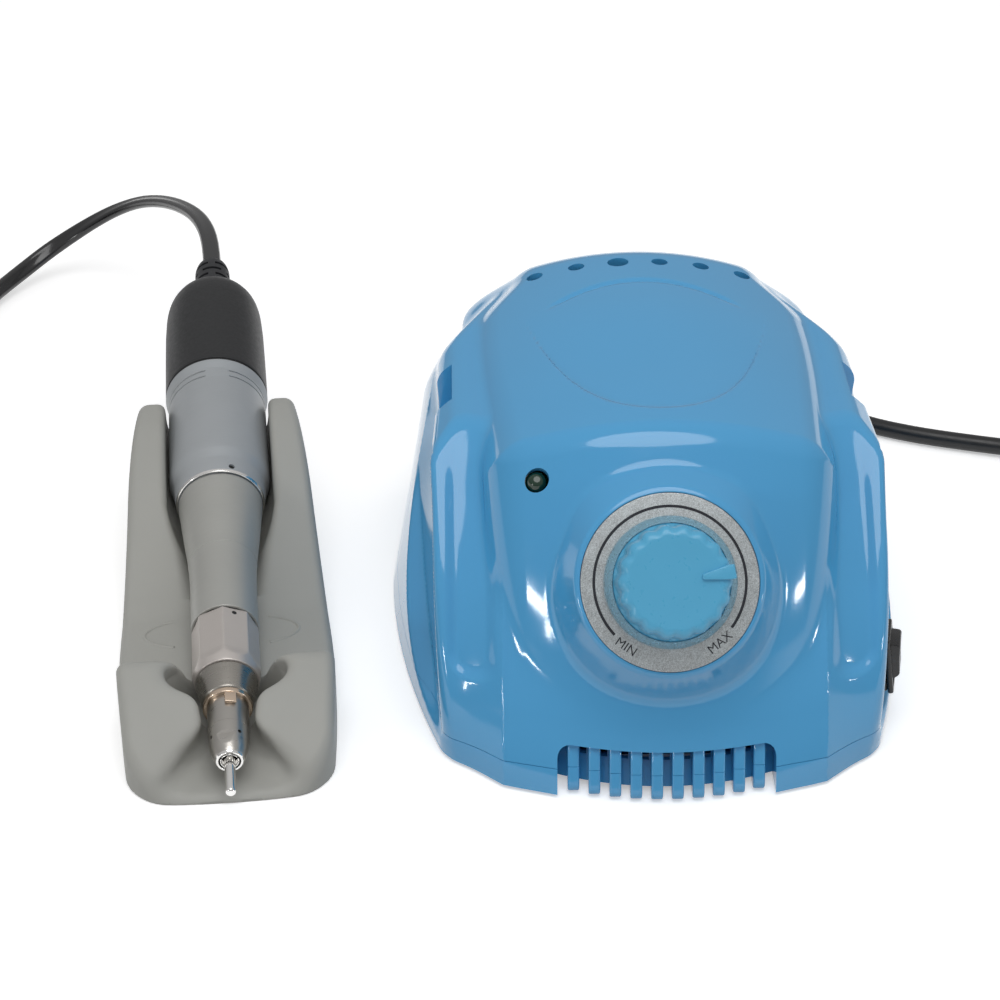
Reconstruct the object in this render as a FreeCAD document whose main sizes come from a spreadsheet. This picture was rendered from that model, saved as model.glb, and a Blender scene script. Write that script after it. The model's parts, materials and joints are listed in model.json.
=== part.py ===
import FreeCAD, Part
import math
import os
import re

import Sketcher
from FreeCAD import Placement, Rotation, Vector

# Driving dimensions in millimetres and degrees.
# The case stands on the bench at Z = 0, its front looks along -Y and +X is its right hand side.
SIZES = {
    # Case of the control unit, as a plan outline that leans back as it rises
    "case_x": 33.1,
    "case_front_y": -95.95,
    "case_depth": 140.0,
    "case_wall": 2.4,
    "case_floor": 1.6,
    "seam_height": 6.5,
    "front_radius": 76.0,
    "hood_half_width": 39.5,
    "hood_top_narrowing": 1.5,
    "hood_height": 74.0,
    "hood_lean": 0.367,
    "hood_overhang": 1.8,
    "hood_sag": 0.8,
    "hood_corner": 8.0,
    "hood_edge_radius": 9.0,
    "hood_crown_radius": 85.0,
    "brow_radius": 30.0,
    "tail_radius": 17.0,
    "wing_half_width": 48.3,
    "wing_setback": 15.6,
    "wing_height": 62.0,
    "wing_run": 41.0,
    "wing_rear_half_width": 54.0,
    "wing_belly": 5.2,
    "wing_draft": 0.16,
    "shoulder_start_x": 30.0,
    "shoulder_start_z": 68.2,
    "shoulder_inner_x": 43.0,
    "shoulder_inner_z": 65.5,
    "shoulder_outer_x": 51.5,
    "shoulder_outer_z": 57.5,
    # Front air grille
    "grille_half_width": 23.8,
    "grille_height": 11.6,
    "grille_recess": 4.6,
    "rib_count": 10,
    "rib_pitch": 4.5,
    "rib_width": 2.3,
    "rib_gap": 0.4,
    "rib_tip_height": 0.6,
    # Vent holes and cradle slots
    "vent_diameter": 4.0,
    "vent_pitch": 10.2,
    "vent_y": 120.5,
    "slot_inner_x": 45.4,
    "slot_width": 4.6,
    "slot_front_y": 71.0,
    "slot_length": 14.0,
    "slot_floor_z": 51.0,
    # Dial boss, dial plate and speed knob
    "dial_tilt": 32.0,
    "dial_y": 13.2,
    "dial_z": 47.5,
    "plate_diameter": 38.2,
    "plate_thickness": 0.8,
    "boss_rim": 1.0,
    "boss_depth": 9.0,
    "boss_flare": 10.5,
    "knob_gap": 0.5,
    "knob_skirt_diameter": 28.4,
    "knob_skirt_height": 5.5,
    "knob_top_diameter": 24.0,
    "knob_height": 15.0,
    "knob_wall": 2.0,
    "knob_flutes": 18,
    "knob_flute_radius": 2.4,
    "knob_pointer_angle": 10.0,
    "pot_body_diameter": 16.5,
    "pot_body_length": 9.0,
    "pot_bush_diameter": 7.0,
    "pot_shaft_diameter": 6.0,
    "pot_shaft_length": 15.0,
    "nut_across_flats": 10.0,
    "nut_height": 2.0,
    # Power lamp
    "lamp_x": -27.8,
    "lamp_back": 0.14,
    "lamp_drop": 7.7,
    "lamp_tilt": 48.0,
    "lamp_hole_diameter": 5.8,
    "lamp_diameter": 5.0,
    "lamp_sink": 1.4,
    "lamp_leg_diameter": 0.6,
    "lamp_leg_spacing": 2.5,
    # Power switch on the right flank
    "switch_y": 30.0,
    "switch_z": 18.5,
    "switch_x": 51.6,
    "switch_yaw": 12.0,
    "switch_draft": 8.0,
    "switch_height": 19.0,
    "switch_width": 13.0,
    "switch_bezel": 0.9,
    "switch_depth": 14.0,
    "rocker_height": 14.6,
    "rocker_width": 8.8,
    "rocker_throw": 12.0,
    # Feet, screws and pieces inside the case
    "foot_diameter": 11.0,
    "foot_height": 3.0,
    "foot_sink": 1.4,
    "foot_x": 35.0,
    "foot_front_y": 22.0,
    "foot_rear_y": 126.0,
    "screw_diameter": 3.0,
    "screw_head_diameter": 5.6,
    "core_width": 46.0,
    "core_length": 38.0,
    "core_height": 39.0,
    "core_y": 91.0,
    "coil_width": 30.0,
    "coil_length": 52.0,
    "board_width": 66.0,
    "board_length": 36.0,
    "board_thickness": 1.6,
    "board_height": 11.0,
    "board_y": 45.0,
    "socket_x": -22.0,
    "socket_z": 30.0,
    "socket_diameter": 15.0,
    "socket_bore": 9.4,
    "fuse_x": 2.0,
    "fuse_diameter": 12.0,
    "fuse_depth": 17.0,
    "gland_x": 9.0,
    "gland_z": 14.0,
    "gland_length": 22.0,
    # Handpiece: stations along its axis from the free end of the tool shank
    "tip_x": -60.6,
    "tip_y": -102.65,
    "tip_z": 8.0,
    "hand_yaw": 5.36,
    "hand_tilt": 8.14,
    "shank_diameter": 2.35,
    "shank_length": 38.0,
    "nose_tip_at": 11.3,
    "nose_rear_at": 23.6,
    "ring_rear_at": 26.8,
    "collar_front_at": 37.7,
    "collar_rear_at": 52.8,
    "sleeve_rear_at": 99.5,
    "barrel_front_at": 108.2,
    "barrel_rear_at": 143.8,
    "cap_rear_at": 192.0,
    "relief_rear_at": 207.8,
    "tip_diameter": 4.8,
    "nose_diameter": 9.2,
    "lock_ring_diameter": 10.9,
    "cone_front_diameter": 11.4,
    "cone_rear_diameter": 14.4,
    "collar_diameter": 15.6,
    "sleeve_waist_diameter": 15.6,
    "sleeve_rear_diameter": 20.4,
    "coupling_diameter": 15.8,
    "coupling_length": 22.0,
    "motor_front_diameter": 22.0,
    "motor_diameter": 25.8,
    "cap_diameter": 26.2,
    "relief_diameter": 9.4,
    "spindle_diameter": 5.6,
    "rotor_diameter": 16.4,
    "rotor_shaft_diameter": 3.0,
    "run_clearance": 0.05,
    "fit_clearance": 0.1,
    # Handpiece rest
    "rest_front_width": 43.5,
    "rest_middle_width": 49.5,
    "rest_rear_width": 38.0,
    "rest_front_at": 6.8,
    "rest_length": 131.0,
    "rest_floor_height": 9.0,
    "rest_lobe_height": 20.0,
    "rest_post_height": 34.0,
    "rest_clearance": 0.35,
    # Cords
    "lead_diameter": 4.6,
    "lead_length": 1500.0,
    "mains_diameter": 4.6,
    "mains_length": 1800.0,
    "cord_floor": 0.2,
    "coil_pitch": 5.3,
    "tie_width": 7.0,
    "tie_thickness": 1.0,
    "plug_body_diameter": 12.4,
    "plug_body_length": 30.0,
    "mains_plug_width": 35.3,
    "mains_plug_thickness": 13.7,
    "mains_plug_length": 37.0,
    "mains_pin_spacing": 18.6,
}

doc = FreeCAD.newDocument("micromotor")
sheet = doc.addObject("Spreadsheet::Sheet", "Sizes")
for row, (alias, amount) in enumerate(SIZES.items(), 1):
    sheet.set(f"A{row}", alias)
    sheet.set(f"B{row}", str(amount))
    sheet.setAlias(f"B{row}", alias)
doc.recompute()

pieces = []


def formula(text):
    """A formula in the sheet's aliases, spelled out for an expression."""
    return re.sub(r"[a-z]\w*", lambda m: "Sizes." + m.group() if m.group() in SIZES else m.group(), str(text))


def value(text):
    """The number that a formula in the sheet's aliases has now."""
    return float(sheet.evalExpression(formula(text)))


def values(*texts):
    return [value(text) for text in texts]


def bind(item, **formulas):
    for name, text in formulas.items():
        item.setExpression(name, formula(text))
    return item


def piece(item, label):
    """Name an object as a sub-part that gets a file of its own."""
    item.Label = label
    pieces.append(item)
    return item


def at(x, y, z, axis=Vector(0, 0, 1), angle=0):
    return Placement(Vector(x, y, z), Rotation(axis, angle))


CASE = at(*values("case_x", "case_front_y", 0))
DIAL = CASE * at(0, *values("dial_y", "dial_z")) * at(0, 0, 0, Vector(1, 0, 0), 90 - value("dial_tilt"))
LAMP = CASE * at(*values("lamp_x", "hood_lean * hood_height + lamp_back", "hood_height - lamp_drop")) * at(0, 0, 0, Vector(1, 0, 0), 90 - value("lamp_tilt"))
HAND = (
    at(*values("tip_x", "tip_y", "tip_z"))
    * at(0, 0, 0, Vector(0, 0, 1), value("hand_yaw"))
    * at(0, 0, 0, Vector(1, 0, 0), value("hand_tilt") - 90)
)
REST = at(*values("tip_x", "tip_y", 0)) * at(0, 0, 0, Vector(0, 0, 1), value("hand_yaw"))


def outline(sketch, points):
    """Closed outline of straight runs, with every corner tied to the sheet."""
    spots = [Vector(value(x), value(y), 0) for x, y in points]
    for index, spot in enumerate(spots):
        sketch.addGeometry(Part.LineSegment(spot, spots[(index + 1) % len(spots)]))
    for index, (x, y) in enumerate(points):
        sketch.addConstraint(Sketcher.Constraint("Coincident", index, 2, (index + 1) % len(points), 1))
        for kind, text, now in (("DistanceX", x, spots[index].x), ("DistanceY", y, spots[index].y)):
            number = sketch.addConstraint(Sketcher.Constraint(kind, -1, 1, index, 1, now))
            sketch.setExpression(f"Constraints[{number}]", formula(text))


def sketched_body(name, plane, points):
    body = doc.addObject("PartDesign::Body", name)
    sketch = body.newObject("Sketcher::SketchObject", name + "_outline")
    role = {feature.Role: feature for feature in body.Origin.OriginFeatures}
    sketch.AttachmentSupport = [(role[plane], "")]
    sketch.MapMode = "FlatFace"
    outline(sketch, points)
    return body, sketch


def turned(name, points, place=Placement(), label=None):
    """Body of revolution about its own Z axis, from (radius, height) corners."""
    body, sketch = sketched_body(name, "XZ_Plane", points)
    turn = body.newObject("PartDesign::Revolution", name + "_turn")
    turn.Profile = sketch
    turn.ReferenceAxis = (sketch, ["V_Axis"])
    turn.Angle = 360
    body.Placement = place
    return piece(body, label) if label else body


def padded(name, plane, points, length, place=Placement(), label=None, midplane=False):
    """Straight pad of an outline along its plane's normal."""
    body, sketch = sketched_body(name, plane, points)
    pad = body.newObject("PartDesign::Pad", name + "_pad")
    pad.Profile = sketch
    pad.Midplane = midplane
    bind(pad, Length=length)
    body.Placement = place
    return piece(body, label) if label else body


def ring(outer, inner, low, high):
    """Corners of a plain ring for turned(); an inner size of 0 makes it a disc."""
    return [(inner, low), (outer, low), (outer, high), (inner, high)]


def box(name, x, y, z, length, width, height, frame=Placement()):
    item = doc.addObject("Part::Box", name)
    bind(item, Length=length, Width=width, Height=height)
    item.Placement = frame * at(*values(x, y, z))
    return item


def rod(name, diameter, height, place=Placement()):
    item = doc.addObject("Part::Cylinder", name)
    bind(item, Radius=f"({diameter}) / 2", Height=height)
    item.Placement = place
    return item


def fused(name, shapes):
    item = doc.addObject("Part::MultiFuse", name)
    item.Shapes = shapes
    return item


def shared(name, shapes):
    item = doc.addObject("Part::MultiCommon", name)
    item.Shapes = shapes
    return item


def cut(name, base, tool):
    item = doc.addObject("Part::Cut", name)
    item.Base = base
    item.Tool = tool
    return item


def solid_of(name, shape, place=Placement()):
    """Document object for a shape that is worked out from the sheet."""
    item = doc.addObject("Part::Feature", name)
    item.Shape = shape
    item.Placement = place
    return item


def group(label, shapes):
    """Separate solids of one kind that share a node."""
    item = doc.addObject("Part::Compound", label + "_set")
    item.Links = shapes
    return piece(item, label)


def arc(start, through, end):
    return Part.Arc(Vector(*start), Vector(*through), Vector(*end)).toShape()


def line(start, end):
    return Part.LineSegment(Vector(*start), Vector(*end)).toShape()


def plan_loop(right_half, z, bow_y=None):
    """Closed plan loop from its right half, which runs from the rear to the front.

    The front is a straight run across, or an arc through bow_y.
    """
    right = [[(x, y, z) for x, y in points] for points in right_half]
    left = [[(-x, y, z) for x, y, z in reversed(points)] for points in reversed(right)]
    start, end = right[0][0], right[-1][-1]
    across = (-end[0], end[1], z)
    front = line(end, across) if bow_y is None else arc(end, (0, bow_y, z), across)
    sides = [[line(*points) if len(points) == 2 else arc(*points) for points in half] for half in (right, left)]
    return Part.Wire(sides[0] + [front] + sides[1] + [line((-start[0], start[1], z), start)])


def bend(before, corner, after, reach):
    """Start, middle and end of the tangent arc that rounds a corner from this far on either side."""
    back = (before - corner).normalize()
    ahead = (after - corner).normalize()
    half_turn = (math.pi - back.getAngle(ahead)) / 2
    radius = reach / math.tan(half_turn)
    inward = (back + ahead).normalize()
    return corner + back * reach, corner + inward * (radius / math.cos(half_turn) - radius), corner + ahead * reach


def lofted(name, loops):
    return solid_of(name, Part.makeLoft(loops, True, False), CASE)


def front_line(x, middle_y):
    """Y of the bowed front of the plan at x, where its middle is at middle_y."""
    radius = value("front_radius")
    return middle_y + radius - math.sqrt(radius ** 2 - x ** 2)


# Case of the control unit: hood, wings and the shells cut from them


def hood_loop(z, inset):
    """Plan of the hood at height z: a bowed front with corners that round off as they rise."""
    low, seam, high = values("case_floor", "seam_height", "hood_height")
    rise = (z - low) / (high - low)
    half = value("hood_half_width") - rise * value("hood_top_narrowing") - inset
    middle_y = value("hood_lean") * (z - low) - value("hood_overhang") + inset
    corner = value("hood_corner")
    turn_in = half - corner
    front = front_line(turn_in, middle_y)
    side = front_line(half, middle_y)
    growth = min(1.0, max(0.0, (z - seam) / (3 * seam)))
    back = side + growth * (front + corner - side)
    bulge = 0.08 + 0.13 * growth
    shoulder = ((turn_in + half) / 2 + bulge * (back - front), (front + back) / 2 - bulge * corner)
    rear = value("case_depth") - inset
    return plan_loop([[(half, rear), (half, back)], [(half, back), shoulder, (turn_in, front)]], z, middle_y)


def wing_loop(z, inset):
    """Plan of the wings at height z: the crest leans back, a valley lies inside it and a scoop outside."""
    low, high = values("case_floor", "wing_height")
    rise = (z - low) / (high - low)
    narrowing = value("wing_draft") * (z - low)
    crest_x = value("wing_half_width") + 3.2 * math.sin(math.pi / 2 * min(rise, 1)) - inset
    crest_y = value("wing_setback") + value("wing_run") * rise ** 2 + inset
    inner_x = value("hood_half_width") - value("hood_corner") / 2
    inner_y = crest_y - 6.6 + 4.0 * rise
    valley = 0.3 + 2.7 * rise
    bulge = 2.8 * (1 - rise) - 3.2 * math.sin(math.pi * min(rise, 1))
    rear_x = value("wing_rear_half_width") - 0.6 * narrowing - inset
    rear_y = value("case_depth") - inset
    flank_x = value("wing_rear_half_width") + value("wing_belly") - narrowing - inset
    flank_y = crest_y + 0.59 * (rear_y - crest_y)
    half_loop = [
        [(rear_x, rear_y), ((flank_x + rear_x) / 2 + 1.3, (rear_y + flank_y) / 2), (flank_x, flank_y)],
        [(flank_x, flank_y), ((flank_x + crest_x) / 2 + bulge, (flank_y + crest_y) / 2), (crest_x, crest_y)],
        [(crest_x, crest_y), ((crest_x + inner_x) / 2, (crest_y + inner_y) / 2 + valley), (inner_x, inner_y)],
    ]
    return plan_loop(half_loop, z)


def side_profile(name, inset):
    """Slab with the side view of the case: a leaning front, a rounded brow, a crowned top and a rounded tail."""
    lean, overhang, low, top = values("hood_lean", "hood_overhang", "case_floor", "hood_height")
    top -= inset
    edge_z = top - value("hood_sag")
    front_y = lean * (edge_z - low) - overhang + inset
    rear_y = value("case_depth") - inset
    side = -100
    foot = Vector(side, front_y - lean * (edge_z + 10), -10)
    front_corner = Vector(side, front_y, edge_z)
    rear_corner = Vector(side, rear_y, edge_z)
    rear_foot = Vector(side, rear_y, -10)
    brow_turn = math.atan2(1, lean) / 2
    brow = bend(foot, front_corner, rear_corner, value("brow_radius") * math.tan(brow_turn))
    tail = bend(front_corner, rear_corner, rear_foot, value("tail_radius"))
    crown = Vector(side, (brow[2].y + tail[0].y) / 2, top)
    edges = [
        Part.LineSegment(foot, brow[0]).toShape(),
        Part.Arc(*brow).toShape(),
        Part.Arc(brow[2], crown, tail[0]).toShape(),
        Part.Arc(*tail).toShape(),
        Part.LineSegment(tail[2], rear_foot).toShape(),
        Part.LineSegment(rear_foot, foot).toShape(),
    ]
    return solid_of(name, Part.Face(Part.Wire(edges)).extrude(Vector(-2 * side, 0, 0)), CASE)


def arch(name, inset):
    """Bar with the cross-section of the hood: two steep sides, rounded edges and a crowned top."""
    crown, edge, top = values("hood_crown_radius", "hood_edge_radius", "hood_height")
    top -= inset
    half = value("hood_half_width") - value("hood_top_narrowing") - inset
    shoulder = half - edge + 1.5
    drop = crown - math.sqrt(crown ** 2 - shoulder ** 2)
    low = top - drop - edge
    middle = (half - 0.29 * edge + 0.4, top - drop - 0.30 * edge)
    y = -30
    foot = half + 1.6
    edges = [
        line((foot, y, 0), (half, y, low)),
        arc((half, y, low), (middle[0], y, middle[1]), (shoulder, y, top - drop)),
        arc((shoulder, y, top - drop), (0, y, top), (-shoulder, y, top - drop)),
        arc((-shoulder, y, top - drop), (-middle[0], y, middle[1]), (-half, y, low)),
        line((-half, y, low), (-foot, y, 0)),
        line((-foot, y, 0), (foot, y, 0)),
    ]
    return solid_of(name, Part.Face(Part.Wire(edges)).extrude(Vector(0, 200, 0)), CASE)


def hood(name, inset):
    low, high = values("case_floor", "hood_height")
    low += 0.01 if inset else 0
    heights = [low, low + (high - low) * 0.12, low + (high - low) * 0.3, high + 2]
    body = lofted(name + "_prism", [hood_loop(z, inset) for z in heights])
    return shared(name, [body, arch(name + "_arch", inset)])


def roof(name, inset):
    """Block above the shoulders that slope from the hood down to the flanks."""
    drop = 1.25 * inset
    spots = [
        (value(f"shoulder_{place}_x"), value(f"shoulder_{place}_z") - drop) for place in ("start", "inner", "outer")
    ]
    (_, _), (x0, z0), (x1, z1) = spots
    spots.append((90, z1 - (90 - x1) * (z0 - z1) / (x1 - x0)))
    corners = [(-x, z) for x, z in reversed(spots)] + spots + [(90, 120), (-90, 120)]
    face = Part.Face(Part.makePolygon([Vector(x, -20, z) for x, z in corners + corners[:1]]))
    return solid_of(name, face.extrude(Vector(0, 200, 0)), CASE)


def wings(name, inset):
    """Wings beside the hood, under the sloping shoulders."""
    low, high = values("case_floor", "shoulder_start_z")
    low += 0.01 if inset else 0
    steps = 6
    loops = [wing_loop(low + (high + 2 - low) * step / steps, inset) for step in range(steps + 1)]
    return cut(name, lofted(name + "_prism", loops), roof(name + "_roof", inset))


def case_shape(name, inset):
    both = fused(name + "_both", [hood(name + "_hood", inset), wings(name + "_wings", inset)])
    return shared(name, [both, side_profile(name + "_profile", inset)])


wall = value("case_wall")
slab = box("below_seam", -80, -40, -20, 160, 240, "20 + seam_height", CASE)

plate_radius = "plate_diameter / 2"
boss_radius = f"({plate_radius} + boss_rim)"
boss = turned(
    "dial_boss",
    [(0, "-boss_depth"), (f"{boss_radius} + boss_flare", "-boss_depth"), (boss_radius, "plate_thickness"), (0, "plate_thickness")],
    DIAL,
)
boss_hollow = turned(
    "dial_boss_hollow",
    [
        (0, "-boss_depth - 14"),
        (f"{boss_radius} + boss_flare - case_wall", "-boss_depth - 14"),
        (f"{boss_radius} + boss_flare - case_wall * 1.4", "-boss_depth"),
        (f"{boss_radius} - case_wall * 1.2", "-case_wall"),
        (0, "-case_wall"),
    ],
    DIAL,
)
boss_front = rod("dial_front", f"plate_diameter + 2 * boss_rim", 30, DIAL * at(0, 0, value("plate_thickness")))
plate_seat = rod("plate_seat", "plate_diameter + 2 * fit_clearance", 40, DIAL)
pot_hole = rod("pot_hole", "pot_bush_diameter + 2 * fit_clearance", 12, DIAL * at(0, 0, -6))
lamp_hole = rod("lamp_hole", "lamp_hole_diameter", 24, LAMP * at(0, 0, -12))
outer_case = cut("outer_case", fused("case_with_boss", [case_shape("outer", 0), boss]), fused("dial_clear", [boss_front, plate_seat]))
inner_case = fused("inner_space", [case_shape("inner", wall), boss_hollow])

grille_opening = box(
    "grille_opening", "-grille_half_width", -20, "seam_height - 1", "2 * grille_half_width", 40,
    "grille_height - seam_height + 1", CASE,
)
vents = [
    rod(f"vent_{index}", "vent_diameter", 40, CASE * at(*values(f"vent_pitch * ({index} - 2.5)", "vent_y", 50)))
    for index in range(6)
]
slots = [
    box(
        f"cradle_slot_{side}", "slot_inner_x" if side > 0 else "-slot_inner_x - slot_width", "slot_front_y",
        "slot_floor_z", "slot_width", "slot_length", 40, CASE,
    )
    for side in (1, -1)
]
SWITCH = (
    CASE
    * at(*values("switch_x", "switch_y", "switch_z"))
    * at(0, 0, 0, Vector(0, 0, 1), -value("switch_yaw"))
    * at(0, 0, 0, Vector(0, 1, 0), 90 - value("switch_draft"))
)
switch_hole = box(
    "switch_hole", "-(switch_height / 2 - switch_bezel)", "-(switch_width / 2 - switch_bezel)", -20,
    "switch_height - 2 * switch_bezel", "switch_width - 2 * switch_bezel", 40, SWITCH,
)
switch_seat = box(
    "switch_seat", "-switch_height / 2 - fit_clearance", "-switch_width / 2 - fit_clearance", 0,
    "switch_height + 2 * fit_clearance", "switch_width + 2 * fit_clearance", 12, SWITCH,
)
REAR = CASE * at(0, value("case_depth"), 0) * at(0, 0, 0, Vector(1, 0, 0), -90)


def rear_hole(name, diameter, x, z):
    return rod(name, diameter, 20, REAR * at(value(x), -value(z), -10))


rear_holes = [
    rear_hole("socket_hole", "socket_diameter + 2 * fit_clearance", "socket_x", "socket_z"),
    rear_hole("fuse_hole", "fuse_diameter + 2 * fit_clearance", "fuse_x", "socket_z"),
    rear_hole("gland_hole", "mains_diameter + 5.4 + 2 * fit_clearance", "gland_x", "gland_z"),
]
shell_cuts = fused(
    "housing_cuts",
    [slab, pot_hole, lamp_hole, grille_opening, switch_hole, switch_seat] + vents + slots + rear_holes,
)
shell = cut("housing_shell", cut("housing_hollow", outer_case, inner_case), shell_cuts)


def ribs(name, low, high, whole):
    """Row of upright ribs across the grille, whose fronts follow the case."""
    row = [
        box(
            f"{name}_{index}", f"rib_pitch * ({index} - (rib_count - 1) / 2) - rib_width / 2", -20, low,
            "rib_width", "20 + grille_recess + 5", f"({high}) - ({low})", CASE,
        )
        for index in range(int(value("rib_count")))
    ]
    return shared(name + "_trimmed", [whole, fused(name + "_row", row)])


slot_pockets = [
    box(
        f"slot_pocket_{side}", "slot_inner_x - case_wall" if side > 0 else "-slot_inner_x - slot_width",
        "slot_front_y - case_wall", "slot_floor_z - case_wall", "slot_width + case_wall", "slot_length + 2 * case_wall",
        22, CASE,
    )
    for side in (1, -1)
]
pockets = cut("cradle_pockets", shared("pocket_blocks", [outer_case, fused("pockets", slot_pockets)]), fused("slots", slots))
upper_ribs = ribs("upper_rib", "seam_height + rib_gap / 2", "grille_height + 2.4", outer_case)
screw_spots = [(x, y) for x in (-1, 1) for y in ("foot_front_y", "foot_rear_y")]


def spot(x_sign, y, z, x="foot_x"):
    return CASE * at(*values(f"({x}) * ({x_sign})", y, z))


columns = [
    rod(f"column_{i}", "screw_diameter + 4", "hood_height - seam_height", spot(x, y, "seam_height"))
    for i, (x, y) in enumerate(screw_spots)
]
column_bores = [rod(f"column_bore_{i}", "screw_diameter", 20, spot(x, y, 0)) for i, (x, y) in enumerate(screw_spots)]
posts = cut("screw_posts", shared("columns_trimmed", [outer_case, fused("columns", columns)]), fused("column_bores", column_bores))
upper = fused("upper_housing_whole", [shell, pockets, upper_ribs, posts])
piece(upper, "upper_housing")

# Base tray with its own ribs, screw posts and feet
tray_slab = box("tray_slab", -80, -40, "case_floor", 160, 240, "seam_height - case_floor", CASE)
tray_outer = shared("tray_outer", [case_shape("tray", 0), tray_slab])
tray_hollow = cut(
    "tray_hollow", tray_outer,
    box(
        "tray_inside", "-hood_half_width + case_wall", "wing_setback + case_wall", "case_floor + case_wall",
        "2 * hood_half_width - 2 * case_wall", "case_depth - wing_setback - 2 * case_wall", 20, CASE,
    ),
)
tray_notch = cut(
    "tray_notch",
    box("tray_notch_block", "-grille_half_width", -20, 0, "2 * grille_half_width", 40, 20, CASE),
    case_shape("notch_wall", value("grille_recess")),
)
lower_ribs = ribs("lower_rib", "rib_tip_height", "seam_height - rib_gap / 2", case_shape("rib_space", 0))
foot_seats = [rod(f"foot_seat_{i}", "foot_diameter + 0.2", "foot_sink", spot(x, y, "case_floor")) for i, (x, y) in enumerate(screw_spots)]
screw_holes = [rod(f"base_hole_{i}", "screw_diameter + 0.4", 30, spot(x, y, 0)) for i, (x, y) in enumerate(screw_spots)]
tray_top = "case_floor + case_wall"
board_under = "board_height - case_floor - case_wall"
INSIDE = CASE * at(0, 0, value(tray_top))
board_spots = [(x, y) for x in (-1, 1) for y in (-1, 1)]


def board_at(x, y, z):
    return INSIDE * at(*values(f"{x} * (board_width / 2 - 4)", f"board_y + {y} * (board_length / 2 - 4)", z))


def strap_at(side, z):
    return INSIDE * at(*values(f"{side} * (core_width / 2 + 5.5)", "core_y", z))


pillars = [rod(f"pillar_{i}", 6.0, f"{board_under} + 0.5", board_at(x, y, -0.5)) for i, (x, y) in enumerate(board_spots)]
pillar_bores = [rod(f"pillar_bore_{i}", "screw_diameter", board_under, board_at(x, y, 0)) for i, (x, y) in enumerate(board_spots)]
strap_bores = [rod(f"strap_bore_{side}", "screw_diameter", 3, strap_at(side, -1.2)) for side in (-1, 1)]
tray = cut(
    "tray_whole",
    fused("tray_body", [cut("tray_front", tray_hollow, tray_notch), lower_ribs] + pillars),
    fused("tray_cuts", foot_seats + screw_holes + pillar_bores + strap_bores),
)
piece(tray, "base_tray")

feet = [
    turned(
        f"foot_{i}",
        [
            ("screw_head_diameter / 2 + 0.3", 0), ("foot_diameter / 2 - 0.8", 0), ("foot_diameter / 2", 1),
            ("foot_diameter / 2", "foot_height"), ("screw_head_diameter / 2 + 0.3", "foot_height"),
        ],
        spot(x, y, 0),
    )
    for i, (x, y) in enumerate(screw_spots)
]
group("rubber_feet", feet)


def screw(name, length, place):
    """Pan head screw standing on its tip; its head is at the bottom."""
    return turned(
        name,
        [
            (0, 0), ("screw_head_diameter / 2", 0), ("screw_head_diameter / 2", 1.8), ("screw_diameter / 2", 1.8),
            ("screw_diameter / 2", length), (0, length),
        ],
        place,
    )


group("base_screws", [screw(f"base_screw_{i}", 12, spot(x, y, 1.2)) for i, (x, y) in enumerate(screw_spots)])

# Speed control: plate, knob, potentiometer and its nut
plate = rod("dial_disc", "plate_diameter", "plate_thickness", DIAL)
piece(cut("dial_plate_holed", plate, rod("plate_hole", "pot_bush_diameter + 0.4", 5, DIAL * at(0, 0, -1))), "dial_plate")
skirt_low = "plate_thickness + knob_gap"
knob_outer = turned(
    "knob_turned",
    [
        (0, skirt_low), ("knob_skirt_diameter / 2", skirt_low), ("knob_skirt_diameter / 2 - 0.4", "knob_skirt_height"),
        ("knob_top_diameter / 2 + 0.4", "knob_skirt_height + 1.2"), ("knob_top_diameter / 2", "knob_height - 1.2"),
        ("knob_top_diameter / 2 - 1.2", "knob_height"), (0, "knob_height"),
    ],
    DIAL,
)
flutes = [
    rod(
        f"flute_{i}", "2 * knob_flute_radius", 20,
        DIAL * at(0, 0, 0, Vector(0, 0, 1), (i + 0.5) * 360 / value("knob_flutes"))
        * at(*values("knob_top_diameter / 2 + knob_flute_radius - 0.9", 0, "knob_skirt_height + 1.4")),
    )
    for i in range(int(value("knob_flutes")))
]
knob_inside = turned(
    "knob_inside",
    [
        ("pot_shaft_diameter / 2 + knob_wall", 0), ("knob_top_diameter / 2 - knob_wall - 0.9", 0),
        ("knob_top_diameter / 2 - knob_wall - 0.9", "knob_height - knob_wall - 1"),
        ("pot_shaft_diameter / 2 + knob_wall", "knob_height - knob_wall - 1"),
    ],
    DIAL,
)
shaft_top = "plate_thickness + pot_shaft_length - 5"
nut_room = rod("nut_room", "nut_across_flats * 1.1547 + 1.2", "nut_height + 1.6", DIAL * at(0, 0, value("plate_thickness")))
shaft_bore = rod("shaft_bore", "pot_shaft_diameter", shaft_top, DIAL)
pointer_block = box(
    "pointer_block", "knob_top_diameter / 2 - 7.4", -1.5, "knob_height - 0.6", 7.9, 3.0, 1.4,
    DIAL * at(0, 0, 0, Vector(0, 0, 1), value("knob_pointer_angle")),
)
knob_solid = cut(
    "knob_whole",
    fused("knob_with_pointer", [cut("knob_fluted", knob_outer, fused("knob_flutes_set", flutes)), pointer_block]),
    fused("knob_cuts", [knob_inside, shaft_bore, nut_room]),
)
piece(knob_solid, "speed_knob")
turned(
    "pot_shaft",
    [
        (0, "-case_wall - 4"), ("pot_shaft_diameter / 2", "-case_wall - 4"),
        ("pot_shaft_diameter / 2", shaft_top), (0, shaft_top),
    ],
    DIAL, "potentiometer_shaft",
)
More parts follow.
